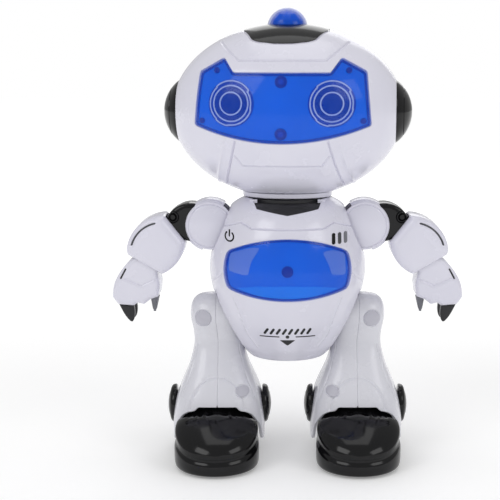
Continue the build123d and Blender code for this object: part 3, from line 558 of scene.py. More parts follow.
def stroke(line, half_width):
    """The outline of a line drawn with a round pen."""
    line = resample(line, 0.6, closed=False)
    ends = []
    for tip, before in ((line[-1], line[-2]), (line[0], line[1])):
        d = (tip - before) / np.linalg.norm(tip - before)
        ends.append([tip + half_width * (np.array([-d[1], d[0]]) * cos(t) + d * sin(t))
                     for t in np.linspace(0.3, pi - 0.3, 5)])
    return np.vstack([offset_line(line, half_width, False), ends[0],
                      offset_line(line, -half_width, False)[::-1], ends[1]])


def shrunk(loop, distance):
    """A closed outline made smaller by a distance."""
    loop = np.array(loop, float)
    turn = np.roll(loop, -1, axis=0)
    area = np.sum(loop[:, 0] * turn[:, 1] - turn[:, 0] * loop[:, 1])
    return offset_line(loop, distance if area > 0 else -distance)


def rings_mesh(name, rings, on_head=False, sharp=35, loop=False):
    """A closed body through rings of the same number of points; a ring of one point closes an end.

    With loop, the last ring is joined to the first instead of both being capped.
    """
    verts, faces, starts = [], [], []
    for ring in rings:
        starts.append(len(verts))
        verts += [tuple(p) for p in ring]
    sizes = [len(ring) for ring in rings]
    if loop:
        starts.append(0)
        sizes.append(sizes[0])
    for a, b, na, nb in zip(starts, starts[1:], sizes, sizes[1:]):
        n = max(na, nb)
        if n == 1:
            continue
        for i in range(n):
            j = (i + 1) % n
            if na == 1:
                faces.append((a, b + j, b + i))
            elif nb == 1:
                faces.append((a + i, a + j, b))
            else:
                faces.append((a + i, a + j, b + j, b + i))
    if not loop:
        for ring, start, turn in ((rings[0], starts[0], -1), (rings[-1], starts[-1], 1)):
            if len(ring) > 1:
                faces.append(tuple(range(start, start + len(ring)))[::turn])
    return face_outwards(make_mesh(name, verts, faces, on_head, sharp=sharp), sharp)


def slab(name, corners, thickness):
    """A flat plate with the given 3-D corners, thickened to the side that its corners turn left about."""
    p = np.array(corners, float)
    normal = np.cross(p[1] - p[0], p[2] - p[1])
    normal /= np.linalg.norm(normal)
    return rings_mesh(name, [p, p + normal * thickness])


def ring_outline(centre, radius, half_width, count=64):
    """The outer and inner outline of a flat ring."""
    return circle(centre, radius + half_width, count), circle(centre, radius - half_width, count)


# --- head ----------------------------------------------------------------------------------------
HEAD_END = radians(74.2)
FLOOR_DROP = HEAD_Z - HEAD_FLOOR_Z
CROWN = softened(both_sides([(0, -33.6), (6, -33.2), (14, -30.8), (18.5, -27.5), (25, -11), (25, 11),
                             (18.5, 27.5), (14, 30.8), (6, 33.2), (0, 33.6)]), 1.6)
VISOR_HALF = [(0, 231.2), (27.7, 231.2), (33.6, 239.6), (47.6, 232.0)]
VISOR_HALF += [(50.3 * t, 192 + 9.8 * t * t) for t in np.linspace(1, 0, 14)]
VISOR = softened(both_sides(VISOR_HALF), 1.0)
EYES = [(-28.8, 214.4), (28.8, 214.4)]


def head_surface(p):
    theta, phi = p[:, 0] / HEAD_A, p[:, 1] / HEAD_B
    rho = HEAD_B * np.cos(theta)
    return np.stack([HEAD_A * np.sin(theta), -rho * np.cos(phi), HEAD_Z + rho * np.sin(phi)], axis=1)


def on_face(points, rear=False):
    """Where front view points (x, z) lie on the head, in its surface's own coordinates."""
    p = np.array(points, float)
    theta = np.arcsin(np.clip(p[:, 0] / HEAD_A, -1, 1))
    phi = np.arcsin(np.clip((p[:, 1] - HEAD_Z) / (HEAD_B * np.cos(theta)), -1, 1))
    return np.stack([HEAD_A * theta, HEAD_B * (pi - phi if rear else phi)], axis=1)


def face_line(points, closed=False):
    return on_face(resample(points, 0.8, closed))


def on_crown(points):
    """Where top view points (x, y) lie on the head."""
    p = np.array(points, float)
    theta = np.arcsin(p[:, 0] / HEAD_A)
    return np.stack([HEAD_A * theta, HEAD_B * np.arccos(-p[:, 1] / (HEAD_B * np.cos(theta)))], axis=1)


def seam_angle(theta):
    return np.arccos(-HEAD_SEAM_Y / (HEAD_B * np.cos(theta)))


def floor_line(start, end):
    """The rim of the head's flat bottom between two directions in degrees, seen from above."""
    share = sqrt(1 - (FLOOR_DROP / HEAD_B)**2)
    t = np.radians(np.linspace(start, end, 60))
    x, y = HEAD_A * share * np.cos(t), HEAD_B * share * np.sin(t)
    phi = np.arctan2(-FLOOR_DROP, -y)
    return np.stack([HEAD_A * np.arcsin(x / HEAD_A), HEAD_B * phi], axis=1)


def head_outlines():
    """Outlines of the front and the rear shell."""
    share = sqrt(1 - (FLOOR_DROP / HEAD_B)**2)
    turn = degrees(asin(HEAD_SEAM_Y / (HEAD_B * share)))
    meet = asin(share * cos(radians(turn)))
    wide = np.linspace(-HEAD_END, HEAD_END, 90)
    right = np.linspace(HEAD_END, meet, 40)[:-1]
    left = np.linspace(-meet, -HEAD_END, 40)[1:]

    def seam(theta, low, round_back=False):
        phi = seam_angle(theta)
        phi = (2 * pi - phi if round_back else -phi) if low else phi
        return np.stack([HEAD_A * theta, HEAD_B * phi], axis=1)

    front = np.vstack([seam(wide, False), seam(right, True), floor_line(turn, -180 - turn), seam(left, True)])
    rear_floor = floor_line(turn, 180 - turn) + (0, 2 * pi * HEAD_B)
    rear = np.vstack([seam(wide, False), seam(right, True, True), rear_floor, seam(left, True, True)])
    return front, rear


def build_head():
    front, rear = head_outlines()
    crown_line = on_crown(CROWN)
    chin = [(26, 194.0), (29.5, 181), (35, 164.5)]
    grooves = [
        (crown_line, True, 0.7, 0.5),
        (face_line([(-27, 184.5), (-22.5, 178.6), (22.5, 178.6), (27, 184.5)]), False, 0.8, 0.75),
        (face_line([(-37, 248.5), (-25, 238), (25, 238), (37, 248.5)]), False, 1.1, 0.8),
    ]
    for s in (-1, 1):
        line = softened([(s * x, z) for x, z in chin], 4, closed=False)
        grooves.append((face_line(line), False, 0.9, 1.1))
        grooves.append((face_line(line + (s * 6.0, 0)), False, 1.6, -0.6))
    shell = surface_panel("head_front", head_surface, front, [on_face(shrunk(VISOR, -0.35))], grooves,
                          thickness=2.0, rim=0.45, on_head=True)
    settle(shell, "head", "white_shell", WHITE, "head_front_shell")

    screws = [(x, z) for x in (-34, 34) for z in (188, 228)]
    rear_grooves = [(crown_line, True, 0.7, 0.5)]
    for wide, outer_z, narrow, inner_z in ((46, 199, 26, 181), (36, 247, 25, 240)):
        line = [(-wide, outer_z), (-narrow, inner_z), (narrow, inner_z), (wide, outer_z)]
        rear_grooves.append((on_face(resample(line, 0.8, False), True), False, 0.8, 0.5))
    holes = [on_face(circle(at, 3.1, 20), True) for at in screws]
    shell = surface_panel("head_rear", head_surface, rear, holes, rear_grooves, thickness=2.0, rim=0.45,
                          on_head=True)
    settle(shell, "head", "white_shell", WHITE, "head_rear_shell")
    for k, (x, z) in enumerate(screws):
        reach = head_surface(on_face([(x, z)], True))[0][1]
        well = lathe(f"head_screw_well_{k}", [(3.05, reach - 1.0), (4.4, reach - 3.2), (4.4, 32.9),
                                              (3.05, 32.9)],
                     (x, 0, z), (0, 1, 0), segments=24, on_head=True)
        settle(well, "head", "white_shell", WHITE, "head_rear_shell")

    window = surface_panel("visor_window", head_surface, on_face(VISOR), (), (), 0.4, 1.4, 0.6, 2.0,
                           on_head=True)
    settle(window, "head", "blue_window", WINDOW, "visor")
    board = surface_panel("visor_board", head_surface, on_face(shrunk(VISOR, -0.2)), (), (), -1.5, 0.8,
                          0.1, 3, on_head=True)
    settle(board, "head", "blue_window", BACKING, "visor")
    border = surface_panel("visor_border", head_surface, on_face(shrunk(VISOR, 0.1)),
                           [on_face(softened(shrunk(VISOR, 1.2), 0.8))], (), -1.2, 0.25, 0.1, 3, on_head=True)
    settle(border, "head", "blue_window", WINDOW_DEEP, "visor")
    for side, eye in zip(("right", "left"), EYES):
        halo = surface_panel(f"eye_halo_{side}", head_surface, on_face(circle(eye, 13.6, 72)), (), (),
                             -1.4, 0.08, 0.05, 2, on_head=True)
        settle(halo, "head", "blue_window", HALO, "visor")
        disc = surface_panel(f"eye_disc_{side}", head_surface, on_face(circle(eye, 10.2, 72)), (), (),
                             -1.28, 0.08, 0.05, 2, on_head=True)
        settle(disc, "head", "blue_window", PUPIL, "visor")
        for k, radius in enumerate((6.4, 10.2)):
            outer, hole = ring_outline(eye, radius, 0.42)
            ring = surface_panel(f"eye_ring_{side}_{k}", head_surface, on_face(outer), [on_face(hole)],
                                 (), -1.1, 0.12, 0.05, 1.5, on_head=True)
            settle(ring, "head", "blue_window", RING_WHITE, "visor")
        steps = [(35, 12.9), (132, 12.3), (226, 12.8), (262, 12.3), (345, 11.8)]
        path = []
        for k, (start, radius) in enumerate(steps):
            end = steps[(k + 1) % len(steps)][0] + (360 if k == len(steps) - 1 else 0)
            path += arc(eye, radius, start, end, 18)
        path = resample(path, 0.4)
        ring = surface_panel(f"eye_ring_{side}_2", head_surface, on_face(offset_line(path, -0.4)),
                             [on_face(offset_line(path, 0.4))], (), -1.1, 0.12, 0.03, 1.5, on_head=True)
        settle(ring, "head", "blue_window", RING_WHITE, "visor")
    for k, at in enumerate([(0, 226.7), (0, 197.1)]):
        boss = surface_panel(f"visor_boss_{k}", head_surface, on_face(circle(at, 3.5, 32)), (), (), -0.9,
                             0.5, 0.3, 1.5, on_head=True)
        settle(boss, "head", "blue_window", PUPIL, "visor")
        boss = surface_panel(f"visor_boss_core_{k}", head_surface, on_face(circle(at, 1.6, 20)), (), (),
                             -0.75, 0.3, 0.1, 1.5, on_head=True)
        settle(boss, "head", "blue_window", HALO, "visor")
    for k, at in enumerate([(-38, 233.2), (38, 233.2), (-46.5, 204.2), (46.5, 204.2)]):
        boss = surface_panel(f"visor_post_{k}", head_surface, on_face(circle(at, 1.7, 24)), (), (), -0.9,
                             0.5, 0.2, 1.5, on_head=True)
        settle(boss, "head", "blue_window", PUPIL, "visor")

    cap = surface_panel("crown", head_surface, on_crown(shrunk(CROWN, 0.25)), (), (), 0.22, 0.18, 0.16, 2.0,
                        on_head=True)
    settle(cap, "head", "black_gloss", BLACK, "crown_cap")
    outer = arc((0, 256.6), 12.0, 4, 90, 20)
    inner = arc((0, 256.6), 10.7, 90, 4, 16)
    dome = lathe("dome", outer + inner, (0, 0, 0), (0, 0, 1))
    settle(dome, "head", "blue_window", DOME_BLUE, "dome_lamp")
    facets = lathe("dome_reflector", [(0, 266.2), (5.2, 264.8), (8.8, 261.2), (9.8, 257.6), (0, 257.6)],
                   (0, 0, 0), (0, 0, 1), segments=9, sharp=1)
    settle(facets, "head", "blue_window", FACETS, "dome_lamp")

    profile = [(0, 60), (18.1, 60), (18.5, 60.4), (18.5, 64.4), (18.1, 65.0)]
    profile += [(22.9 * cos(radians(a)), 51.1 + 22.9 * sin(radians(a))) for a in np.linspace(39, 50, 5)]
    profile += [(22.9 * cos(radians(a)) * 0.99, 50.6 + 22.9 * sin(radians(a))) for a in (50.6, 51.6)]
    profile += [(22.9 * cos(radians(a)), 51.1 + 22.9 * sin(radians(a))) for a in np.linspace(52.4, 90, 14)]
    for side, s in SIDES:
        ear = lathe(f"ear_{side}", profile, (0, 0, HEAD_Z), (s, 0, 0), on_head=True)
        settle(ear, "head", "black_gloss", BLACK, f"ear_cap_{side}")


# --- torso ---------------------------------------------------------------------------------------
class Barrel:
    """The torso's turned surface: its side line by length, and the way to and from front view points."""

    def __init__(self):
        side = np.array(TORSO_SIDE, float)
        chord = np.concatenate([[0], np.cumsum(np.linalg.norm(np.diff(side[:-1], axis=0), axis=1))])
        fine = np.linspace(0, chord[-1], 400)
        r, z = spline(chord, side[:-1, 0])(fine), spline(chord, side[:-1, 1])(fine)
        r, z = np.append(r, side[-1, 0]), np.append(z, side[-1, 1])
        self.length = -np.concatenate([[0], np.cumsum(np.hypot(np.diff(r), np.diff(z)))])
        self.r, self.z, self.mean = r, z, 44.0

    def radius(self, z):
        return np.interp(z, self.z[::-1], self.r[::-1])

    def v(self, z):
        return np.interp(z, self.z[::-1], self.length[::-1])

    def height(self, v):
        return np.interp(v, self.length[::-1], self.z[::-1])

    def surface(self, rear=False):
        def at(p):
            z = self.height(p[:, 1])
            r = np.interp(p[:, 1], self.length[::-1], self.r[::-1])
            turn = p[:, 0] / self.mean
            sign = -1 if rear else 1
            return np.stack([sign * r * np.sin(turn), -sign * r * np.cos(turn), z], axis=1)

        return at

    def on(self, points):
        """Front view points in the surface's coordinates; for the rear, x counts to the other side."""
        p = np.array(points, float)
        turn = np.arcsin(np.clip(p[:, 0] / self.radius(p[:, 1]), -1, 1))
        return np.stack([self.mean * turn, self.v(p[:, 1])], axis=1)

    def line(self, points, closed=False):
        return self.on(resample(points, 0.8, closed))

    def side_limit(self, z):
        """How far round the shell goes at a height, between the shoulder socket and the hip's pocket."""
        r = float(self.radius(z))
        limit = pi / 2
        share = (r * r + SHOULDER_X**2 + (z - SHOULDER_Z)**2 - SOCKET_R**2) / (2 * r * SHOULDER_X)
        if share < 1:
            limit = min(limit, asin(share))
        if z <= 101:
            pocket = max(asin(min(1, 25.6 / r)), acos(min(1, 14.4 / r)))
            limit = min(limit, pocket)
        return limit

    def outline(self, rear):
        heights = np.concatenate([np.linspace(157.5, 101.01, 110), np.linspace(101, 60.5, 60)])
        right = [(self.mean * self.side_limit(z), float(self.v(z))) for z in heights]
        collar = [(0, 150.0), (18.0, 153.0), (20.4, 157.45)] if not rear else [(0, 157.5)]
        top = self.line(collar) if not rear else self.on(collar)
        half = list(map(tuple, top)) + right
        half.append((0, right[-1][1]))
        return both_sides(half)


BARREL = Barrel()


def lens_outline():
    points = three_point((-34.8, 128.6), (0, 137), (34.8, 128.6))
    points += three_point((34.8, 128.6), (37.2, 117.5), (34.8, 106.6))
    points += three_point((34.8, 106.6), (0, 101.6), (-34.8, 106.6))
    points += three_point((-34.8, 106.6), (-37.2, 117.5), (-34.8, 128.6))
    return softened(points, 1.8)


def build_torso():
    lens = lens_outline()
    front = BARREL.surface()
    grooves = [(BARREL.line([(-38.4, 141.2), (-27.3, 145.2), (-21, 142.3), (21, 142.3), (27.3, 145.2),
                             (38.4, 141.2)]),
                False, 0.8, 0.85)]
    for s in (-1, 1):
        ridge = softened([(s * 31.5, 103), (s * 27, 91), (s * 23.5, 79), (s * 17, 70)], 3, closed=False)
        grooves.append((BARREL.on(ridge), False, 1.5, -0.7))
        grooves.append((BARREL.line([(s * 38.6, 115), (s * 44.6, 108)]), False, 0.8, 0.5))
    shell = surface_panel("torso_front", front, BARREL.outline(False), [BARREL.on(shrunk(lens, -0.3))],
                          grooves, thickness=2.0, rim=0.45)
    settle(shell, "torso", "white_shell", WHITE, "torso_front_shell")

    cover = softened([(-30, 93), (30, 93), (30, 130), (-30, 130)], 2.4)
    slot = softened([(-4.5, 74.8), (4.5, 74.8), (4.5, 79.2), (-4.5, 79.2)], 0.5)
    holes = [BARREL.on(shrunk(cover, -0.25)), BARREL.on(slot)]
    for ring, count in ((3, 6), (6.2, 10), (9.4, 16)):
        for k in range(count):
            t = 2 * pi * k / count
            holes.append(BARREL.on(circle((ring * cos(t), 141.2 + ring * sin(t)), 0.85, 12)))
    screws = [(-24, 137), (24, 137), (-20, 87), (20, 87)]
    holes += [BARREL.on(circle(at, 3.1, 20)) for at in screws]
    back_grooves = [(BARREL.line([(-40, 133.5), (-33, 133.5), (-30, 136), (-18, 149), (18, 149),
                                  (30, 136), (33, 133.5), (40, 133.5)]), False, 0.8, 0.5)]
    back_grooves.append((BARREL.line([(-28, 70), (-16, 83.5), (16, 83.5), (28, 70)]), False, 0.8, 0.5))
    shell = surface_panel("torso_back", BARREL.surface(True), BARREL.outline(True), holes, back_grooves,
                          thickness=2.0, rim=0.45)
    settle(shell, "torso", "white_shell", WHITE, "torso_back_shell")
    for k, (x, z) in enumerate(screws):
        reach = BARREL.surface(True)(BARREL.on([(-x, z)]))[0][1]
        well = lathe(f"torso_screw_well_{k}", [(3.05, reach - 1.0), (4.4, reach - 3.0), (4.4, 29.9),
                                               (3.05, 29.9)],
                     (x, 0, z), (0, 1, 0), segments=24)
        settle(well, "torso", "white_shell", WHITE, "torso_back_shell")
    floor = lathe("torso_floor", [(0, 60.5), (22.4, 60.5), (22.9, 60.9), (22.9, 62.4), (0, 62.4)],
                  (0, 0, 0), (0, 0, 1))
    settle(floor, "torso", "white_shell", WHITE, "torso_front_shell", "torso_back_shell")

    grips = [(BARREL.line([(x - 6, 125.6 - 1.6 * k), (x + 6, 125.6 - 1.6 * k)]), False, 0.55, -0.35)
             for x in (-14, 14) for k in range(3)]
    door = surface_panel("battery_door", BARREL.surface(True), BARREL.on(cover), (), grips, 0.0, 1.8, 0.5,
                         2.0)
    settle(door, "torso", "white_shell", WHITE, "battery_cover")

    window = surface_panel("lens_window", front, BARREL.on(lens), (), (), 0.9, 1.6, 0.8, 2.0)
    settle(window, "torso", "blue_window", WINDOW, "chest_lens")
    board = surface_panel("lens_board", front, BARREL.on(shrunk(lens, -0.2)), (), (), -1.3, 0.8, 0.1, 3)
    settle(board, "torso", "blue_window", BACKING, "chest_lens")
    border = surface_panel("lens_border", front, BARREL.on(shrunk(lens, 0.1)),
                           [BARREL.on(shrunk(lens, 1.0))], (), -0.9, 0.3, 0.1, 3)
    settle(border, "torso", "blue_window", WINDOW_DEEP, "chest_lens")
    # Lighter patches on the lens board are painted light: the lavender left and right corner patches are
    # painted reflections, and the low band is a painted lit band.
    patches = {
        "left": ([(-34.4, 127.6), (-22, 132.0), (-16, 132.4), (-21.5, 124), (-23.5, 115.5), (-35.4, 117)],
                 LAVENDER_PAINTED_REFLECTION),
        "right": ([(34.4, 127.6), (27, 130.4), (20.5, 129.6), (24.5, 122), (26, 116), (34.8, 114.6)],
                  LAVENDER_PAINTED_REFLECTION),
        # Painted light: a lighter band that glows along the bottom edge of the lens.
        "low": ([(-31, 107.4), (-18, 109.6), (0, 110.4), (18, 109.6), (31, 107.4), (16, 103.6),
                 (0, 102.6), (-16, 103.6)],
                PALE_BLUE_PAINTED_LIGHT),
    }
    for k, (corners, material) in patches.items():
        patch = surface_panel(f"lens_patch_{k}", front, BARREL.on(softened(corners, 1.6)), (), (), -1.05,
                              0.2, 0.1, 3)
        settle(patch, "torso", "blue_window", material, "chest_lens")
    boss = surface_panel("lens_boss", front, BARREL.on(circle((0, 119), 3.4, 32)), (), (), -0.5, 0.6, 0.3,
                         1.5)
    settle(boss, "torso", "blue_window", PUPIL, "chest_lens")

    for k, material in enumerate((BLACK, DARK_GREY, MID_GREY)):
        x = 26.6 + 3.6 * k
        bar = surface_panel(f"chest_bar_{k}", front, BARREL.on(stroke([(x, 134), (x, 138.4)], 1.0)), (),
                            (), 0.3, 0.28, 0.2, 1.5)
        settle(bar, "torso", "black_gloss", material, "torso_front_shell")
    power = arc((-34, 136.6), 2.6, 130, 410, 24)
    for k, line in enumerate((power, [(-34, 136.8), (-34, 140.0)])):
        mark = surface_panel(f"power_mark_{k}", front, BARREL.on(stroke(line, 0.45)), (), (), 0.06, 0.05,
                             0.02, 1.5)
        settle(mark, "torso", "black_gloss", BLACK, "torso_front_shell")
    belly = [stroke([(x - 0.8, 80.8), (x + 0.8, 83.4)], 0.75) for x in np.linspace(-12.5, 12.5, 8)]
    belly += [stroke([(-16, 78.6), (-5, 78.6)], 0.35), stroke([(5, 78.6), (16, 78.6)], 0.35),
              circle((0, 78.6), 1.1, 24)]
    belly += [softened([(-4.6, 76.4), (4.6, 76.4), (0, 72.6)], 0.3)]
    for k, outline in enumerate(belly):
        mark = surface_panel(f"belly_mark_{k}", front, BARREL.on(outline), (), (), 0.06, 0.05, 0.02, 1.5)
        settle(mark, "torso", "black_gloss", SATIN_BLACK, "torso_front_shell")

    for side, s in SIDES:
        corners = ((17.8, 0), (22.2, 0), (22.2, 2.6), (17.8, 2.6))
        tab = rings_mesh(f"collar_tab_{side}", [[(s * x, -16.0 - y, z) for x, y in corners]
                                                for z in (155.2, 157.2)])
        settle(tab, "torso", "white_shell", WHITE, "torso_front_shell")
        build_socket(side, s)
        build_pocket(side, s)


def build_socket(side, s):
    """Cup round the shoulder, cut off where it meets the torso's surface."""
    def cup_point(radius, beta, alpha):
        return np.array([SHOULDER_X - radius * cos(beta), radius * sin(beta) * cos(alpha),
                         SHOULDER_Z + radius * sin(beta) * sin(alpha)])

    rows = []
    for alpha in np.linspace(0, 2 * pi, 72, endpoint=False):
        low, high = 0.3, 2.0
        for _ in range(24):
            mid = (low + high) / 2
            x, y, z = cup_point(SOCKET_R, mid, alpha)
            if hypot(x, y) < float(BARREL.radius(z)) - 0.9:
                low = mid
            else:
                high = mid
        betas = np.linspace(0.32, low, 14)
        inner_wall = [cup_point(SOCKET_R, b, alpha) for b in betas]
        rows.append(inner_wall + [cup_point(SOCKET_R + 0.9, b, alpha) for b in betas[::-1]])
    count = len(rows[0])
    verts = [p * (s, 1, 1) for row in rows for p in row]
    faces = []
    for k in range(len(rows)):
        a, b = k * count, (k + 1) % len(rows) * count
        faces += [(a + i, b + i, b + (i + 1) % count, a + (i + 1) % count) for i in range(count)]
    cup = face_outwards(make_mesh(f"shoulder_socket_{side}", verts, faces))
    settle(cup, "torso", "white_shell", WHITE, "torso_front_shell", "torso_back_shell")


def build_pocket(side, s):
    """Inner walls of the pocket that the hip turns in."""
    heights = np.linspace(63, 101.6, 16)
    depth = [min(14.4, sqrt(max(float(BARREL.radius(z))**2 - 25.6**2, 0.1)) - 0.6) for z in heights]
    front = [(s * 25.0, -d, z) for d, z in zip(depth, heights)]
    rear = [(s * 25.0, d, z) for d, z in zip(depth, heights)]
    wall = slab(f"hip_wall_{side}", front + rear[::-1], 1.0)
    roof = [(s * 24.5, -14.4), (s * 24.5, 14.4)]
    reach = float(BARREL.radius(101))
    roof += [(s * (sqrt(reach**2 - y * y) - 0.8), y) for y in np.linspace(14.4, -14.4, 12)]
    roof = slab(f"hip_roof_{side}", [(x, y, 101.1) for x, y in roof], 1.0 * s)
    parts = [wall, roof]
    for k, y in enumerate((-14.5, 14.5)):
        lows = [z for z in heights if float(BARREL.radius(z)) > 31]
        cheek = [(s * 25.2, y, lows[0]), (s * 25.2, y, 101.6)]
        cheek += [(s * (sqrt(float(BARREL.radius(z))**2 - 14.4**2) - 0.9), y, z) for z in lows[::-1]]
        parts.append(slab(f"hip_cheek_{side}_{k}", cheek, 0.9))
    for part in parts:
        settle(part, "torso", "white_shell", WHITE, "torso_front_shell", "torso_back_shell")


# --- arms ----------------------------------------------------------------------------------------
def pillow_height(outline, side, crown, radius, open_test=None, bulge=0.0):
    """Height of a rounded form over its outline, as a function of front view points.

    side is the wall's height at the rim, or a function for it; open_test says which rim points have no wall.
    """
    loop = resample(outline, 0.5)
    starts, ends = loop, np.roll(loop, -1, axis=0)
    closed = ~open_test((starts + ends) / 2) if open_test else np.ones(len(loop), bool)

    def height(p):
        low = side(p) if callable(side) else side
        d = distance_to(p, starts, ends)
        wall = np.clip(distance_to(p, starts[closed], ends[closed], 0.5) / 0.04, 0, 1)
        h = low + (crown - low) * (1 - rim_drop(d, radius) / radius)
        h = h + bulge * (1 - np.exp(-np.maximum(d - radius * 0.5, 0) / 6))
        return h * wall

    return height


def pillow_region(outline, holes, grooves, radius, step, edge_step=0.9):
    bands = (0.04, 0.05 * radius, 0.18 * radius, 0.4 * radius, 0.7 * radius)
    return Region(outline, holes, [(line, closed, width) for line, closed, width, _ in grooves], step, bands,
                  edge_step)


def pillow_half(name, outline, height, radius, front, holes=(), grooves=(), thickness=None, step=1.5,
                start=0.0):
    """Front or rear half of a rounded form: a shell if it has a thickness, else closed by a flat back."""
    region = pillow_region(outline, holes, grooves, radius, step)
    p = region.points
    h = np.maximum(height(p) - groove_depth(p, grooves), start)
    sign = -1 if front else 1
    outer = np.stack([p[:, 0], sign * h, p[:, 1]], axis=1)
    if thickness:
        return thick_skin(name, region, outer, thickness, flip=not front)
    inner = np.stack([p[:, 0], np.full(len(p), sign * (start - 0.02)), p[:, 1]], axis=1)
    return thick_skin(name, region, outer, 0, flip=not front, inner=inner)


def pillow_whole(name, outline, height, radius, centre_y=0.0, grooves=(), step=1.5, holes=()):
    """A rounded form that is the same to the front and to the back."""
    region = pillow_region(outline, holes, grooves, radius, step, 0.7)
    p = region.points
    h = np.maximum(height(p) - groove_depth(p, grooves), 0.01)
    outer = np.stack([p[:, 0], centre_y - h, p[:, 1]], axis=1)
    inner = np.stack([p[:, 0], centre_y + h, p[:, 1]], axis=1)
    return thick_skin(name, region, outer, 0, inner=inner)


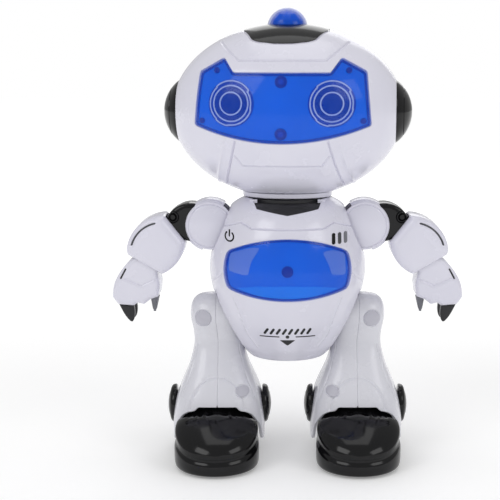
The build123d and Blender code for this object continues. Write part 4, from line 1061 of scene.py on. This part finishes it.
def build_arms():
    face_y, inner_r, inner_y = 12.0, 13.4, 9.1
    at = (SHOULDER_X, 0, SHOULDER_Z)
    cap = [(0, inner_y), (14.4, inner_y), (14.3, 9.5), (13.9, 9.8), (13.3, 9.8), (13.1, 9.5), (12.7, 9.5),
           (12.5, 10.1)]
    cap += [(r, face_y - 1.8 * (r / 12.5)**2.2) for r in np.linspace(11.9, 0, 14)]
    edge = [(14.4, inner_y), (15.0, 8.5), (15.6, 7.3), (15.9, 6.0), (16.0, 4.5)]
    for k, s in (("front", -1), ("rear", 1)):
        disc = lathe(f"shoulder_disc_{k}", cap, at, (0, s, 0))
        settle_pair(disc, "shoulder", "white_shell", WHITE, "shoulder_yoke")
    band = [(inner_r, -inner_y)] + [(r, -y) for r, y in edge] + edge[::-1] + [(inner_r, inner_y)]
    x_side = Vector((0, 1, 0)).orthogonal().normalized()
    first = degrees(np.arctan2(x_side.z, x_side.x))
    ring = lathe("shoulder_band", band, at, (0, -1, 0), start=108 - first, sweep=196, segments=72)
    settle_pair(ring, "shoulder", "white_shell", WHITE, "shoulder_yoke")
    axle = lathe("shoulder_axle", [(0, 0), (4.9, 0), (4.9, 9.0), (0, 9.0)],
                 (SHOULDER_X - 23.6, 0, SHOULDER_Z), (1, 0, 0), segments=32)
    settle_pair(axle, "shoulder", "white_shell", GREY_INSET, "shoulder_yoke")
    pin = lathe("shoulder_pin", [(0, -9.5), (3, -9.5), (3, 9.5), (0, 9.5)], at, (0, 1, 0), segments=32)
    settle_pair(pin, "shoulder", "white_shell", GREY_INSET, "shoulder_yoke")

    hub = arc((SHOULDER_X, SHOULDER_Z), 12.9, 62, 298, 40)
    block = hub + [(55.0, 129.5), (64.0, 132.0), (76.0, 132.0), (76.5, 139.5)]
    block += three_point((72.2, 145.6), (64.0, 152.6), (52.5, 152.8))
    block = softened(block, 0.6)
    height = pillow_height(block, 6.6, 8.8, 2.2)
    body = pillow_whole("shoulder_link", block, height, 2.2, grooves=[
        (circle((68.6, 145.4), 2.0, 24), True, 0.6, 0.7), (circle((68.6, 145.4), 3.4, 24), True, 0.5, 0.4)])
    settle_pair(body, "upper_arm", "black_gloss", BLACK, "shoulder_block")

    outline = three_point((73.6, 146.7), (88.6, 141.1), (96.2, 126.0)) + [(96.2, 126.0), (95.4, 123.4)]
    outline += three_point((75.2, 111.6), (65.4, 119.2), (61.2, 130.8)) + [(61.2, 130.8)]
    outline = softened(outline, 0.7)

    def at_mouth(p):
        first = np.abs((p[:, 0] - 67.4) * 0.788 - (p[:, 1] - 138.8) * 0.615) < 1.2
        second = np.abs((p[:, 0] - 85.3) * 0.504 - (p[:, 1] - 117.5) * 0.864) < 1.2
        first &= np.abs((p[:, 0] - 67.4) * 0.615 + (p[:, 1] - 138.8) * 0.788) < 9.3
        second &= np.abs((p[:, 0] - 85.3) * 0.864 + (p[:, 1] - 117.5) * 0.504) < 10.8
        return first | second

    def side(p):
        along = np.clip(((p[:, 0] - 67.4) * 0.64 - (p[:, 1] - 138.8) * 0.77) / 27, 0, 1)
        return 9.3 + 2.8 * along * along * (3 - 2 * along)

    height = pillow_height(outline, side, 14.3, 5.5, at_mouth, 0.2)
    slot_line = three_point((79, 142.4), (88.2, 137.4), (93.0, 129.4), 20) + [(93.0, 129.4)]
    for k, is_front in (("front", True), ("rear", False)):
        shell = pillow_half(f"upper_arm_{k}", outline, height, 5.5, is_front, thickness=1.8, start=0.1,
                            grooves=[(slot_line, False, 1.5, 1.0)] if is_front else
                            [(circle((ELBOW_X, ELBOW_Z), 3.2, 24), True, 0.6, 0.6)])
        settle_pair(shell, "upper_arm", "white_shell", WHITE, f"upper_arm_{k}_shell")
    strip = surface_panel("arm_strip", lambda p: np.stack([p[:, 0], -height(p), p[:, 1]], axis=1),
                          stroke(slot_line, 0.62), (), (), -0.55, 0.3, 0.05, 1.5)
    settle_pair(strip, "upper_arm", "black_plastic", DARK_GREY, "upper_arm_front_shell")

    x = np.linspace(0, 1, 16)
    back = np.stack([spline([0, 0.3, 0.68, 1], [94.6, 99.9, 104.6, 105.6])(x),
                     spline([0, 0.3, 0.68, 1], [119.5, 113.5, 104.5, 97.0])(x)], axis=1)
    hand = list(map(tuple, back)) + [(102.3, 92.4), (93, 91.6), (90.5, 93.4), (86.5, 92.4), (83, 95.4),
                                     (77.9, 97.3), (77, 104.3), (78.4, 111.6), (76.8, 115), (84, 124),
                                     (92, 121.5)]
    hand = softened(hand, 0.7)
    height = pillow_height(hand, 8.6, 11.4, 2.8)
    for k, is_front in (("front", True), ("rear", False)):
        grooves = [([(79, 108.2), (88, 104.2), (98.5, 108.6)], False, 0.8, 0.5)]
        if is_front:
            grooves.append(([(97.2, 114.6), (100.4, 108.4)], False, 1.2, 0.8))
        part = pillow_half(f"forearm_{k}", hand, height, 2.8, is_front, grooves=grooves, start=0.1)
        settle_pair(part, "forearm", "white_shell", WHITE, f"forearm_{k}_shell")
    strip = surface_panel("forearm_strip", lambda p: np.stack([p[:, 0], -height(p), p[:, 1]], axis=1),
                          stroke([(97.4, 114.2), (100.2, 108.8)], 0.55), (), (), -0.35, 0.3, 0.05, 1.5)
    settle_pair(strip, "forearm", "black_plastic", SATIN_BLACK, "forearm_front_shell")
    hub = lathe("elbow_hub", [(2.6, -10.5), (9.2, -10.5), (9.6, -10.1), (9.6, 10.1), (9.2, 10.5),
                              (2.6, 10.5)],
                (ELBOW_X, 0, ELBOW_Z), (0, 1, 0), segments=48)
    settle_pair(hub, "forearm", "white_shell", WHITE, "forearm_front_shell", "forearm_rear_shell")
    post = lathe("elbow_post", [(0, -13), (2.5, -13), (2.5, 13), (0, 13)], (ELBOW_X, 0, ELBOW_Z),
                 (0, 1, 0), segments=32)
    settle_pair(post, "upper_arm", "white_shell", GREY_INSET, "upper_arm_front_shell", "upper_arm_rear_shell")

    t = np.linspace(0, 1, 12)
    outer = np.stack([spline([0, 0.5, 1], [102.2, 98.6, 95.4])(t),
                      spline([0, 0.5, 1], [92.6, 85.6, 81.6])(t)], axis=1)
    inner = np.stack([spline([0, 0.5, 1], [93.4, 92.6, 93.2])(t),
                      spline([0, 0.5, 1], [82.2, 86.5, 92.4])(t)], axis=1)
    claw = softened(list(map(tuple, outer)) + [(94.2, 81.2)] + list(map(tuple, inner)), 0.4)
    height = pillow_height(claw, 1.3, 2.4, 1.1)
    for k, y in (("front", -6.2), ("rear", 6.2)):
        finger = pillow_whole(f"claw_{k}", claw, height, 1.1, y, step=1.2)
        settle_pair(finger, "forearm", "black_plastic", SATIN_BLACK, "claw_fingers")
    rings = []
    turns = np.linspace(0, 2 * pi, 28, endpoint=False)
    for share in np.linspace(0, 1, 12):
        z = 96.0 - 9.6 * share
        rx, ry = 2.9 - 1.9 * share, 4.4 - 2.9 * share
        if share > 0.9:
            rx, ry = rx * 0.75, ry * 0.75
        rings.append([(81.0 + 0.3 * share + rx * cos(a), ry * sin(a), z) for a in turns])
    spike = rings_mesh("thumb_spike", rings, sharp=60)
    settle_pair(spike, "forearm", "grey_plastic", MID_GREY, "thumb")


# --- legs and feet -------------------------------------------------------------------------------
class Leg:
    """The left leg's upright surface: rounded sections stacked along its length."""
    SECTIONS = [  # length, height, half width, half depth, squareness
        (9, 9, 27.8, 29.5, 3.6), (22.6, 22.6, 27.9, 30.3, 3.6), (38, 38, 25, 27, 3.4),
        (53.5, 53.5, 18.6, 18.2, 3.2), (66, 66, 15.3, 11.8, 3.0), (75.5, 75.5, 15, 10.7, 2.9),
        (80.5, 80.5, 15.6, 12.3, 2.7), (85.5, 85, 16, 13.1, 2.6), (91, 90, 15.7, 12.2, 2.5),
        (96.5, 94, 14.2, 9.6, 2.5), (101, 96.8, 11.2, 6.2, 2.3), (105.5, 98.0, 6.5, 3.0, 2),
        (109, 98.2, 1.5, 0.8, 2)]

    def __init__(self):
        table = np.array(self.SECTIONS, float)
        self.low, self.high, self.around = table[0, 0], table[-1, 0], 24.0
        self.fine = np.linspace(self.low, self.high, 500)
        curves = []
        for k in range(1, 5):
            rough = np.interp(self.fine, table[:, 0], table[:, k])
            smooth = spline(table[:, 0], table[:, k])(self.fine)
            curves.append(0.35 * rough + 0.65 * smooth)
        self.z, self.hx, self.hy, self.n = curves

    def section(self, v):
        z, hx, hy, n = (np.interp(v, self.fine, c) for c in (self.z, self.hx, self.hy, self.n))
        return z, hx, hy, n, LEG_X + 1.2 * np.clip((v - 70) / 12, 0, 1)

    def reach(self, turn, v):
        _, hx, hy, n, _ = self.section(v)
        return (np.abs(np.cos(turn) / hx)**n + np.abs(np.sin(turn) / hy)**n)**(-1 / n)

    def surface(self, p):
        turn = p[:, 0] / self.around
        z, _, _, _, centre = self.section(p[:, 1])
        r = self.reach(turn, p[:, 1])
        return np.stack([centre + r * np.cos(turn), r * np.sin(turn), z], axis=1)

    def v(self, z):
        return np.interp(z, self.z, self.fine)

    def on_front(self, points):
        """Where front view points lie on the front of the leg."""
        turns = np.linspace(-pi, 0, 721)
        out = []
        for x, z in points:
            v = float(self.v(z))
            xs = self.section(v)[4] + self.reach(turns, v) * np.cos(turns)
            out.append((self.around * float(np.interp(x, xs, turns)), v))
        return np.array(out)

    def on_side(self, points, inner=False):
        """Where side view points (y, z) lie on the leg's outer or inner side."""
        turns = np.linspace(-pi / 2, pi / 2, 721)
        out = []
        for y, z in points:
            v = float(self.v(z))
            ys = self.reach(turns, v) * np.sin(turns)
            turn = float(np.interp(y, ys, turns))
            out.append((self.around * (pi - turn if inner else turn), v))
        return np.array(out)

    def half_outline(self, inner):
        """From the front seam round to the rear seam, and over the top back to the front."""
        lower = []
        front = [(LEG_X, 33.4), (LEG_X + 11.6, 33.4), (LEG_X + 13.4, 31.2), (LEG_X + 17.6, 30.2),
                 (LEG_X + 21, 28.2), (LEG_X + 23.4, 25)]
        lower += [tuple(q) for q in self.on_front(resample(front, 0.8, False))]
        edge = [(-20.0, 19.5), (-17.5, 13.5), (-14, 9.6), (14, 9.6), (20.5, 31)]
        lower += [tuple(q) for q in self.on_side(resample(edge, 0.8, False))]
        rear = [tuple(q) for q in self.on_front(resample([(LEG_X + 16, 31.6), (LEG_X, 31.6)], 0.8, False))]
        lower += [(-u, v) for u, v in rear]
        seam = self.around * pi / 2
        lower[0], lower[-1] = (-seam, lower[0][1]), (seam, lower[-1][1])
        lower = softened(lower, 1.2, closed=False)
        line = [tuple(q) for q in lower] + [(seam, v) for v in np.linspace(lower[-1][1] + 1.5, self.high, 60)]
        line += [(u, self.high) for u in np.linspace(seam, -seam, 30)[1:]]
        line += [(-seam, v) for v in np.linspace(self.high, lower[0][1] + 1.5, 60)[1:]]
        line = np.array(line)
        if inner:
            line[:, 0] = self.around * pi - line[:, 0]
        return line


LEG = Leg()


def build_legs():
    arch = [(LEG_X - 17, 31), (LEG_X - 15.6, 38), (LEG_X - 11, 45.5), (LEG_X - 5, 49.4), (LEG_X, 50.2),
            (LEG_X + 5, 49.4), (LEG_X + 11, 45.5), (LEG_X + 15.6, 38), (LEG_X + 17, 31)]
    arch = softened(arch, 2.0, closed=False)
    oval = [(26.8 + 4.0 * cos(t), 42.1 + 3.2 * sin(t)) for t in np.linspace(0, 2 * pi, 36, endpoint=False)]
    for k in ("outer", "inner"):
        inner = k == "inner"
        grooves = []
        part = [p for p in arch if (p[0] < LEG_X - 0.05 if inner else p[0] > LEG_X + 0.05)]
        line = LEG.on_front(part)
        if inner:
            line = line + (2 * pi * LEG.around, 0)
        grooves.append((line, False, 1.0, 0.7))
        knee = [(-19.5, 36), (-17, 46), (-11.5, 58), (-8.5, 68)]
        grooves.append((LEG.on_side(softened(knee, 2, False), inner), False, 0.8, 0.45))
        grooves.append((LEG.on_side([(-y, z) for y, z in softened(knee, 2, False)], inner), False, 0.8, 0.45))
        if not inner:
            grooves.append((LEG.on_front(circle((51.0, 84.2), 5.0, 40)), True, 0.7, 0.7))
            grooves.append((LEG.on_side(resample([(0, 40), (0, 53)], 0.8, False)), False, 2.0, 0.9))
        else:
            grooves.append((LEG.on_front(oval) + (2 * pi * LEG.around, 0), True, 0.7, 0.6))
        shell = surface_panel(f"leg_{k}", LEG.surface, LEG.half_outline(inner), (), grooves,
                              thickness=1.9, rim=0.5, step=2.0)
        settle_pair(shell, "leg", "white_shell", SOFT_WHITE, f"leg_{k}_shell")
    strip = surface_panel("leg_strip", LEG.surface, LEG.on_side(stroke([(0, 40.6), (0, 52.4)], 1.0)), (),
                          (), -0.45, 0.4, 0.1, 1.5)
    settle_pair(strip, "leg", "grey_plastic", GREY_INSET, "leg_outer_shell")
    disc = surface_panel("hip_boss", LEG.surface, LEG.on_front(circle((51.0, 84.2), 4.75, 40)), (), (),
                         0.06, 0.5, 0.2, 1.5)
    settle_pair(disc, "leg", "grey_plastic", GREY_INSET, "leg_outer_shell")
    inset = [(26.8 + 0.93 * (x - 26.8), 42.1 + 0.93 * (z - 42.1)) for x, z in oval]
    disc = surface_panel("shin_oval", LEG.surface, LEG.on_front(inset), (), (), 0.06, 0.5, 0.2, 1.5)
    settle_pair(disc, "leg", "grey_plastic", GREY_INSET, "leg_inner_shell")
    for k, s in (("outer", 1), ("inner", -1)):
        profile = [(0, 26.4), (11.3, 26.4), (11.8, 26.8), (11.8, 27.8), (11.5, 28.8), (10.8, 29.6),
                   (9.7, 30.1), (9.2, 29.7), (8.5, 29.7), (8.1, 30.4), (6.4, 31.1), (3.6, 31.6),
                   (3.3, 31.2), (2.8, 31.2), (2.5, 31.7), (0, 31.9)]
        cap = lathe(f"ankle_cap_{k}", profile, (LEG_X, 0, ANKLE_Z), (s, 0, 0), segments=72)
        settle_pair(cap, "leg", "black_plastic", BLACK, "ankle_caps")


def build_shoes():
    plan = three_point((-25.2, -33), (0, -60), (25.2, -33), 40) + [(25.2, -33), (23.9, -21), (23.6, 10)]
    plan += three_point((21.5, 22), (0, 41), (-21.5, 22), 30) + [(-21.5, 22), (-23.6, 10), (-23.9, -21)]
    plan = softened(plan, 2.0)
    keep = np.linspace(0, len(plan), 132, endpoint=False).astype(int)
    plan = plan[keep]
    area = np.sum(plan[:, 0] * np.roll(plan[:, 1], -1) - np.roll(plan[:, 0], -1) * plan[:, 1])
    if area < 0:
        plan = plan[::-1]
    right = plan[plan[:, 0] >= -0.3]
    right = right[np.argsort(right[:, 1])]
    half_width = lambda y: np.interp(y, right[:, 1], np.maximum(right[:, 0], 0.05))
    ridge = spline([-61, -56, -49, -41, -33, -20, 12, 30, 42],
                   [12.2, 12.8, 15.6, 19.8, 23.4, 24.6, 22.0, 18.6, 14.0])
    top_y = [-60.5, -57, -50, -41, -34.5, -30, -24.5, -20, -12, 0, 12, 20, 24.5, 33, 38, 41.5]
    top_z = [13.4, 17.8, 23.2, 28.2, 30.8, 31.6, 32.8, 36, 42, 44.6, 42, 35, 29, 24, 20, 14.2]
    crest = spline(top_y, top_z)
    centre = np.array([0, -9.5])

    def trench(points):
        """A dip in front under the leg's rim, so that the toe can tip up without touching it."""
        across, along = np.abs(points[:, 0]) / 27.9, np.maximum(-points[:, 1], 0) / 30.3
        spot = across**3.6 + along**3.6
        share = np.clip((spot - 0.45) / 0.25, 0, 1) * np.clip((1.48 - spot) / 0.3, 0, 1)
        share = share * np.clip(along * 1.4, 0, 1)
        return (1.9 + 2.2 * np.clip(across * 1.35, 0, 1)**2) * share * share * (3 - 2 * share)

    def rim(points):
        return ridge(points[:, 1]) - trench(points)

    def lid(points, drop=0.0):
        y = points[:, 1]
        share = np.sqrt(np.maximum(1 - (points[:, 0] / np.maximum(half_width(y) - 0.55, 0.05))**2, 0))
        return rim(points) + (np.maximum(crest(y), ridge(y)) - ridge(y)) * share - drop

    def ring(points, z):
        return [(LEG_X + x, y, h) for (x, y), h in zip(points, z)]

    rings = []
    for out, share in ((-2.0, 0.0), (-1.1, 0.015), (-0.5, 0.06), (-0.15, 0.14), (0, 0.26), (0, 0.52),
                       (-0.15, 0.6), (-0.5, 0.66), (-1.1, 0.71), (-1.3, 0.78), (-1.3, 0.88), (-0.9, 0.9),
                       (-0.7, 0.92), (-0.7, 0.97)):
        points = shrunk(plan, -out)
        rings.append(ring(points, 1.2 + (rim(points) - 1.2) * share))
    edge = shrunk(plan, 0.55)
    for share in (1, 0.998, 0.992, 0.98, 0.96, 0.93, 0.89, 0.85, 0.81, 0.77, 0.73, 0.69, 0.65, 0.6, 0.54,
                  0.48, 0.38, 0.25, 0.12):
        points = centre + (edge - centre) * share
        rings.append(ring(points, lid(points)))
    rings.append([(LEG_X, centre[1], float(lid(centre[None, :])[0]))])
    inner = shrunk(plan, 2.6)
    rings.append([(LEG_X, centre[1], float(lid(centre[None, :])[0]) - 2)])
    for share in (0.25, 0.5, 0.7, 0.84, 0.93, 0.97, 1):
        points = centre + (inner - centre) * share
        z = lid(points, 2.0) - 0.12 * (lid(points) - 12) * (share > 0.9)
        rings.append(ring(points, np.maximum(z - 2.5 * share**8, 4)))
    points = shrunk(plan, 2.3)
    rings.append(ring(points, np.full(len(points), 1.2)))
    shoe = rings_mesh("shoe", rings, sharp=40, loop=True)
    settle_pair(shoe, "foot", "black_gloss", BLACK, "shoe_upper")


# --- the CAD nodes that stay ---------------------------------------------------------------------
def finish_nodes():
    """Better materials for the CAD nodes that still show."""
    kinds = {"tyres": RUBBER, "screws": STEEL, "pin": STEEL, "motor": STEEL, "board": BOARD, "cells": CELL,
             "collar": SATIN_BLACK, "sole": SATIN_BLACK, "frame": SATIN_BLACK, "wheels": MID_GREY,
             "glide": MID_GREY, "pinion": MID_GREY, "knob": SATIN_BLACK, "speaker": SATIN_BLACK,
             "box": SATIN_BLACK, "ring": WHITE}
    for name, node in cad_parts.items():
        if node.hide_render:
            continue
        for word, material in kinds.items():
            if word in name and not (word == "pin" and "pinion" in name):
                for place in node.material_slots:
                    place.material = material
                break


# --- studio --------------------------------------------------------------------------------------
def build_studio():
    scene = bpy.context.scene
    floor = bpy.data.meshes.new("floor")
    floor.from_pydata([(-6, -6, 0), (6, -6, 0), (6, 6, 0), (-6, 6, 0)], [], [(0, 1, 2, 3)])
    floor = bpy.data.objects.new("floor", floor)
    scene.collection.objects.link(floor)
    floor.location.z = -0.0002
    s = Shader("studio_floor")
    s.link(s.mix(s.spread(s.noise(1.5), 0, 1), (0.9, 0.9, 0.9, 1), (0.92, 0.92, 0.92, 1)),
           s.bsdf.inputs["Base Color"])
    far = s.node("ShaderNodeVectorMath", operation="LENGTH")
    s.link(s.place, far.inputs[0])
    s.link(s.spread(far.outputs["Value"], 0.22, 0.55, 0.2, 1.4), s.bsdf.inputs["Emission Strength"])
    s.set(Roughness=0.9, Emission_Color=(1, 1, 1, 1))
    floor.data.materials.append(s.material)

    world = bpy.data.worlds.new("studio")
    world.use_nodes = True
    nodes, links = world.node_tree.nodes, world.node_tree.links
    background = nodes["Background"]
    background.inputs["Color"].default_value = (1, 1, 1, 1)
    path, strength = nodes.new("ShaderNodeLightPath"), nodes.new("ShaderNodeMapRange")
    strength.inputs["To Min"].default_value, strength.inputs["To Max"].default_value = 0.5, 1.0
    links.new(path.outputs["Is Camera Ray"], strength.inputs["Value"])
    links.new(strength.outputs["Result"], background.inputs["Strength"])
    scene.world = world
    for name, energy, size, place in (
        ("key_left", 4.2, 0.7, (-0.9, -0.9, 1.1)),
        ("key_right", 2.6, 0.6, (1.0, -0.8, 0.9)),
        ("top", 3.0, 0.9, (0.0, 0.1, 1.4)),
        ("back", 3.0, 0.9, (0.2, 1.3, 0.8)),
    ):
        light = bpy.data.lights.new(name, "AREA")
        light.energy, light.size = energy, size
        lamp = bpy.data.objects.new(name, light)
        scene.collection.objects.link(lamp)
        lamp.location = place
        lamp.rotation_euler = (Vector((0, 0, 0.13)) - Vector(place)).to_track_quat("-Z", "Y").to_euler()

    camera = bpy.data.objects.new("camera", bpy.data.cameras.new("camera"))
    scene.collection.objects.link(camera)
    camera.data.lens, camera.data.sensor_width, camera.data.shift_x = 84.0, 36.0, -0.075
    camera.data.clip_start = 0.05
    camera.location = (0, (AXIS_Y - 700) * MM, 0.24)
    camera.rotation_euler = (radians(90 - 9.4), 0, 0)
    scene.camera = camera
    scene.view_settings.view_transform = "Standard"
    scene.view_settings.look = "None"


# Glowing pale blue of the painted lit band along the bottom of the chest lens.
PALE_BLUE_PAINTED_LIGHT = lit("pale_blue_painted_light", srgb(30, 146, 250), srgb(22, 134, 242), 0.45, 0.16)
# Lavender of the painted reflections in the chest lens's corners.
LAVENDER_PAINTED_REFLECTION = moulded("lavender_painted_reflection", srgb(150, 178, 248), srgb(118, 160, 242), 0.45)
HALO = moulded("blue_halo", srgb(3, 52, 186), srgb(3, 44, 174), 0.4)
FACETS = moulded("blue_facets", srgb(20, 120, 240), srgb(12, 96, 226), 0.2)

build_head()
build_torso()
build_arms()
build_legs()
build_shoes()
finish_nodes()
build_studio()
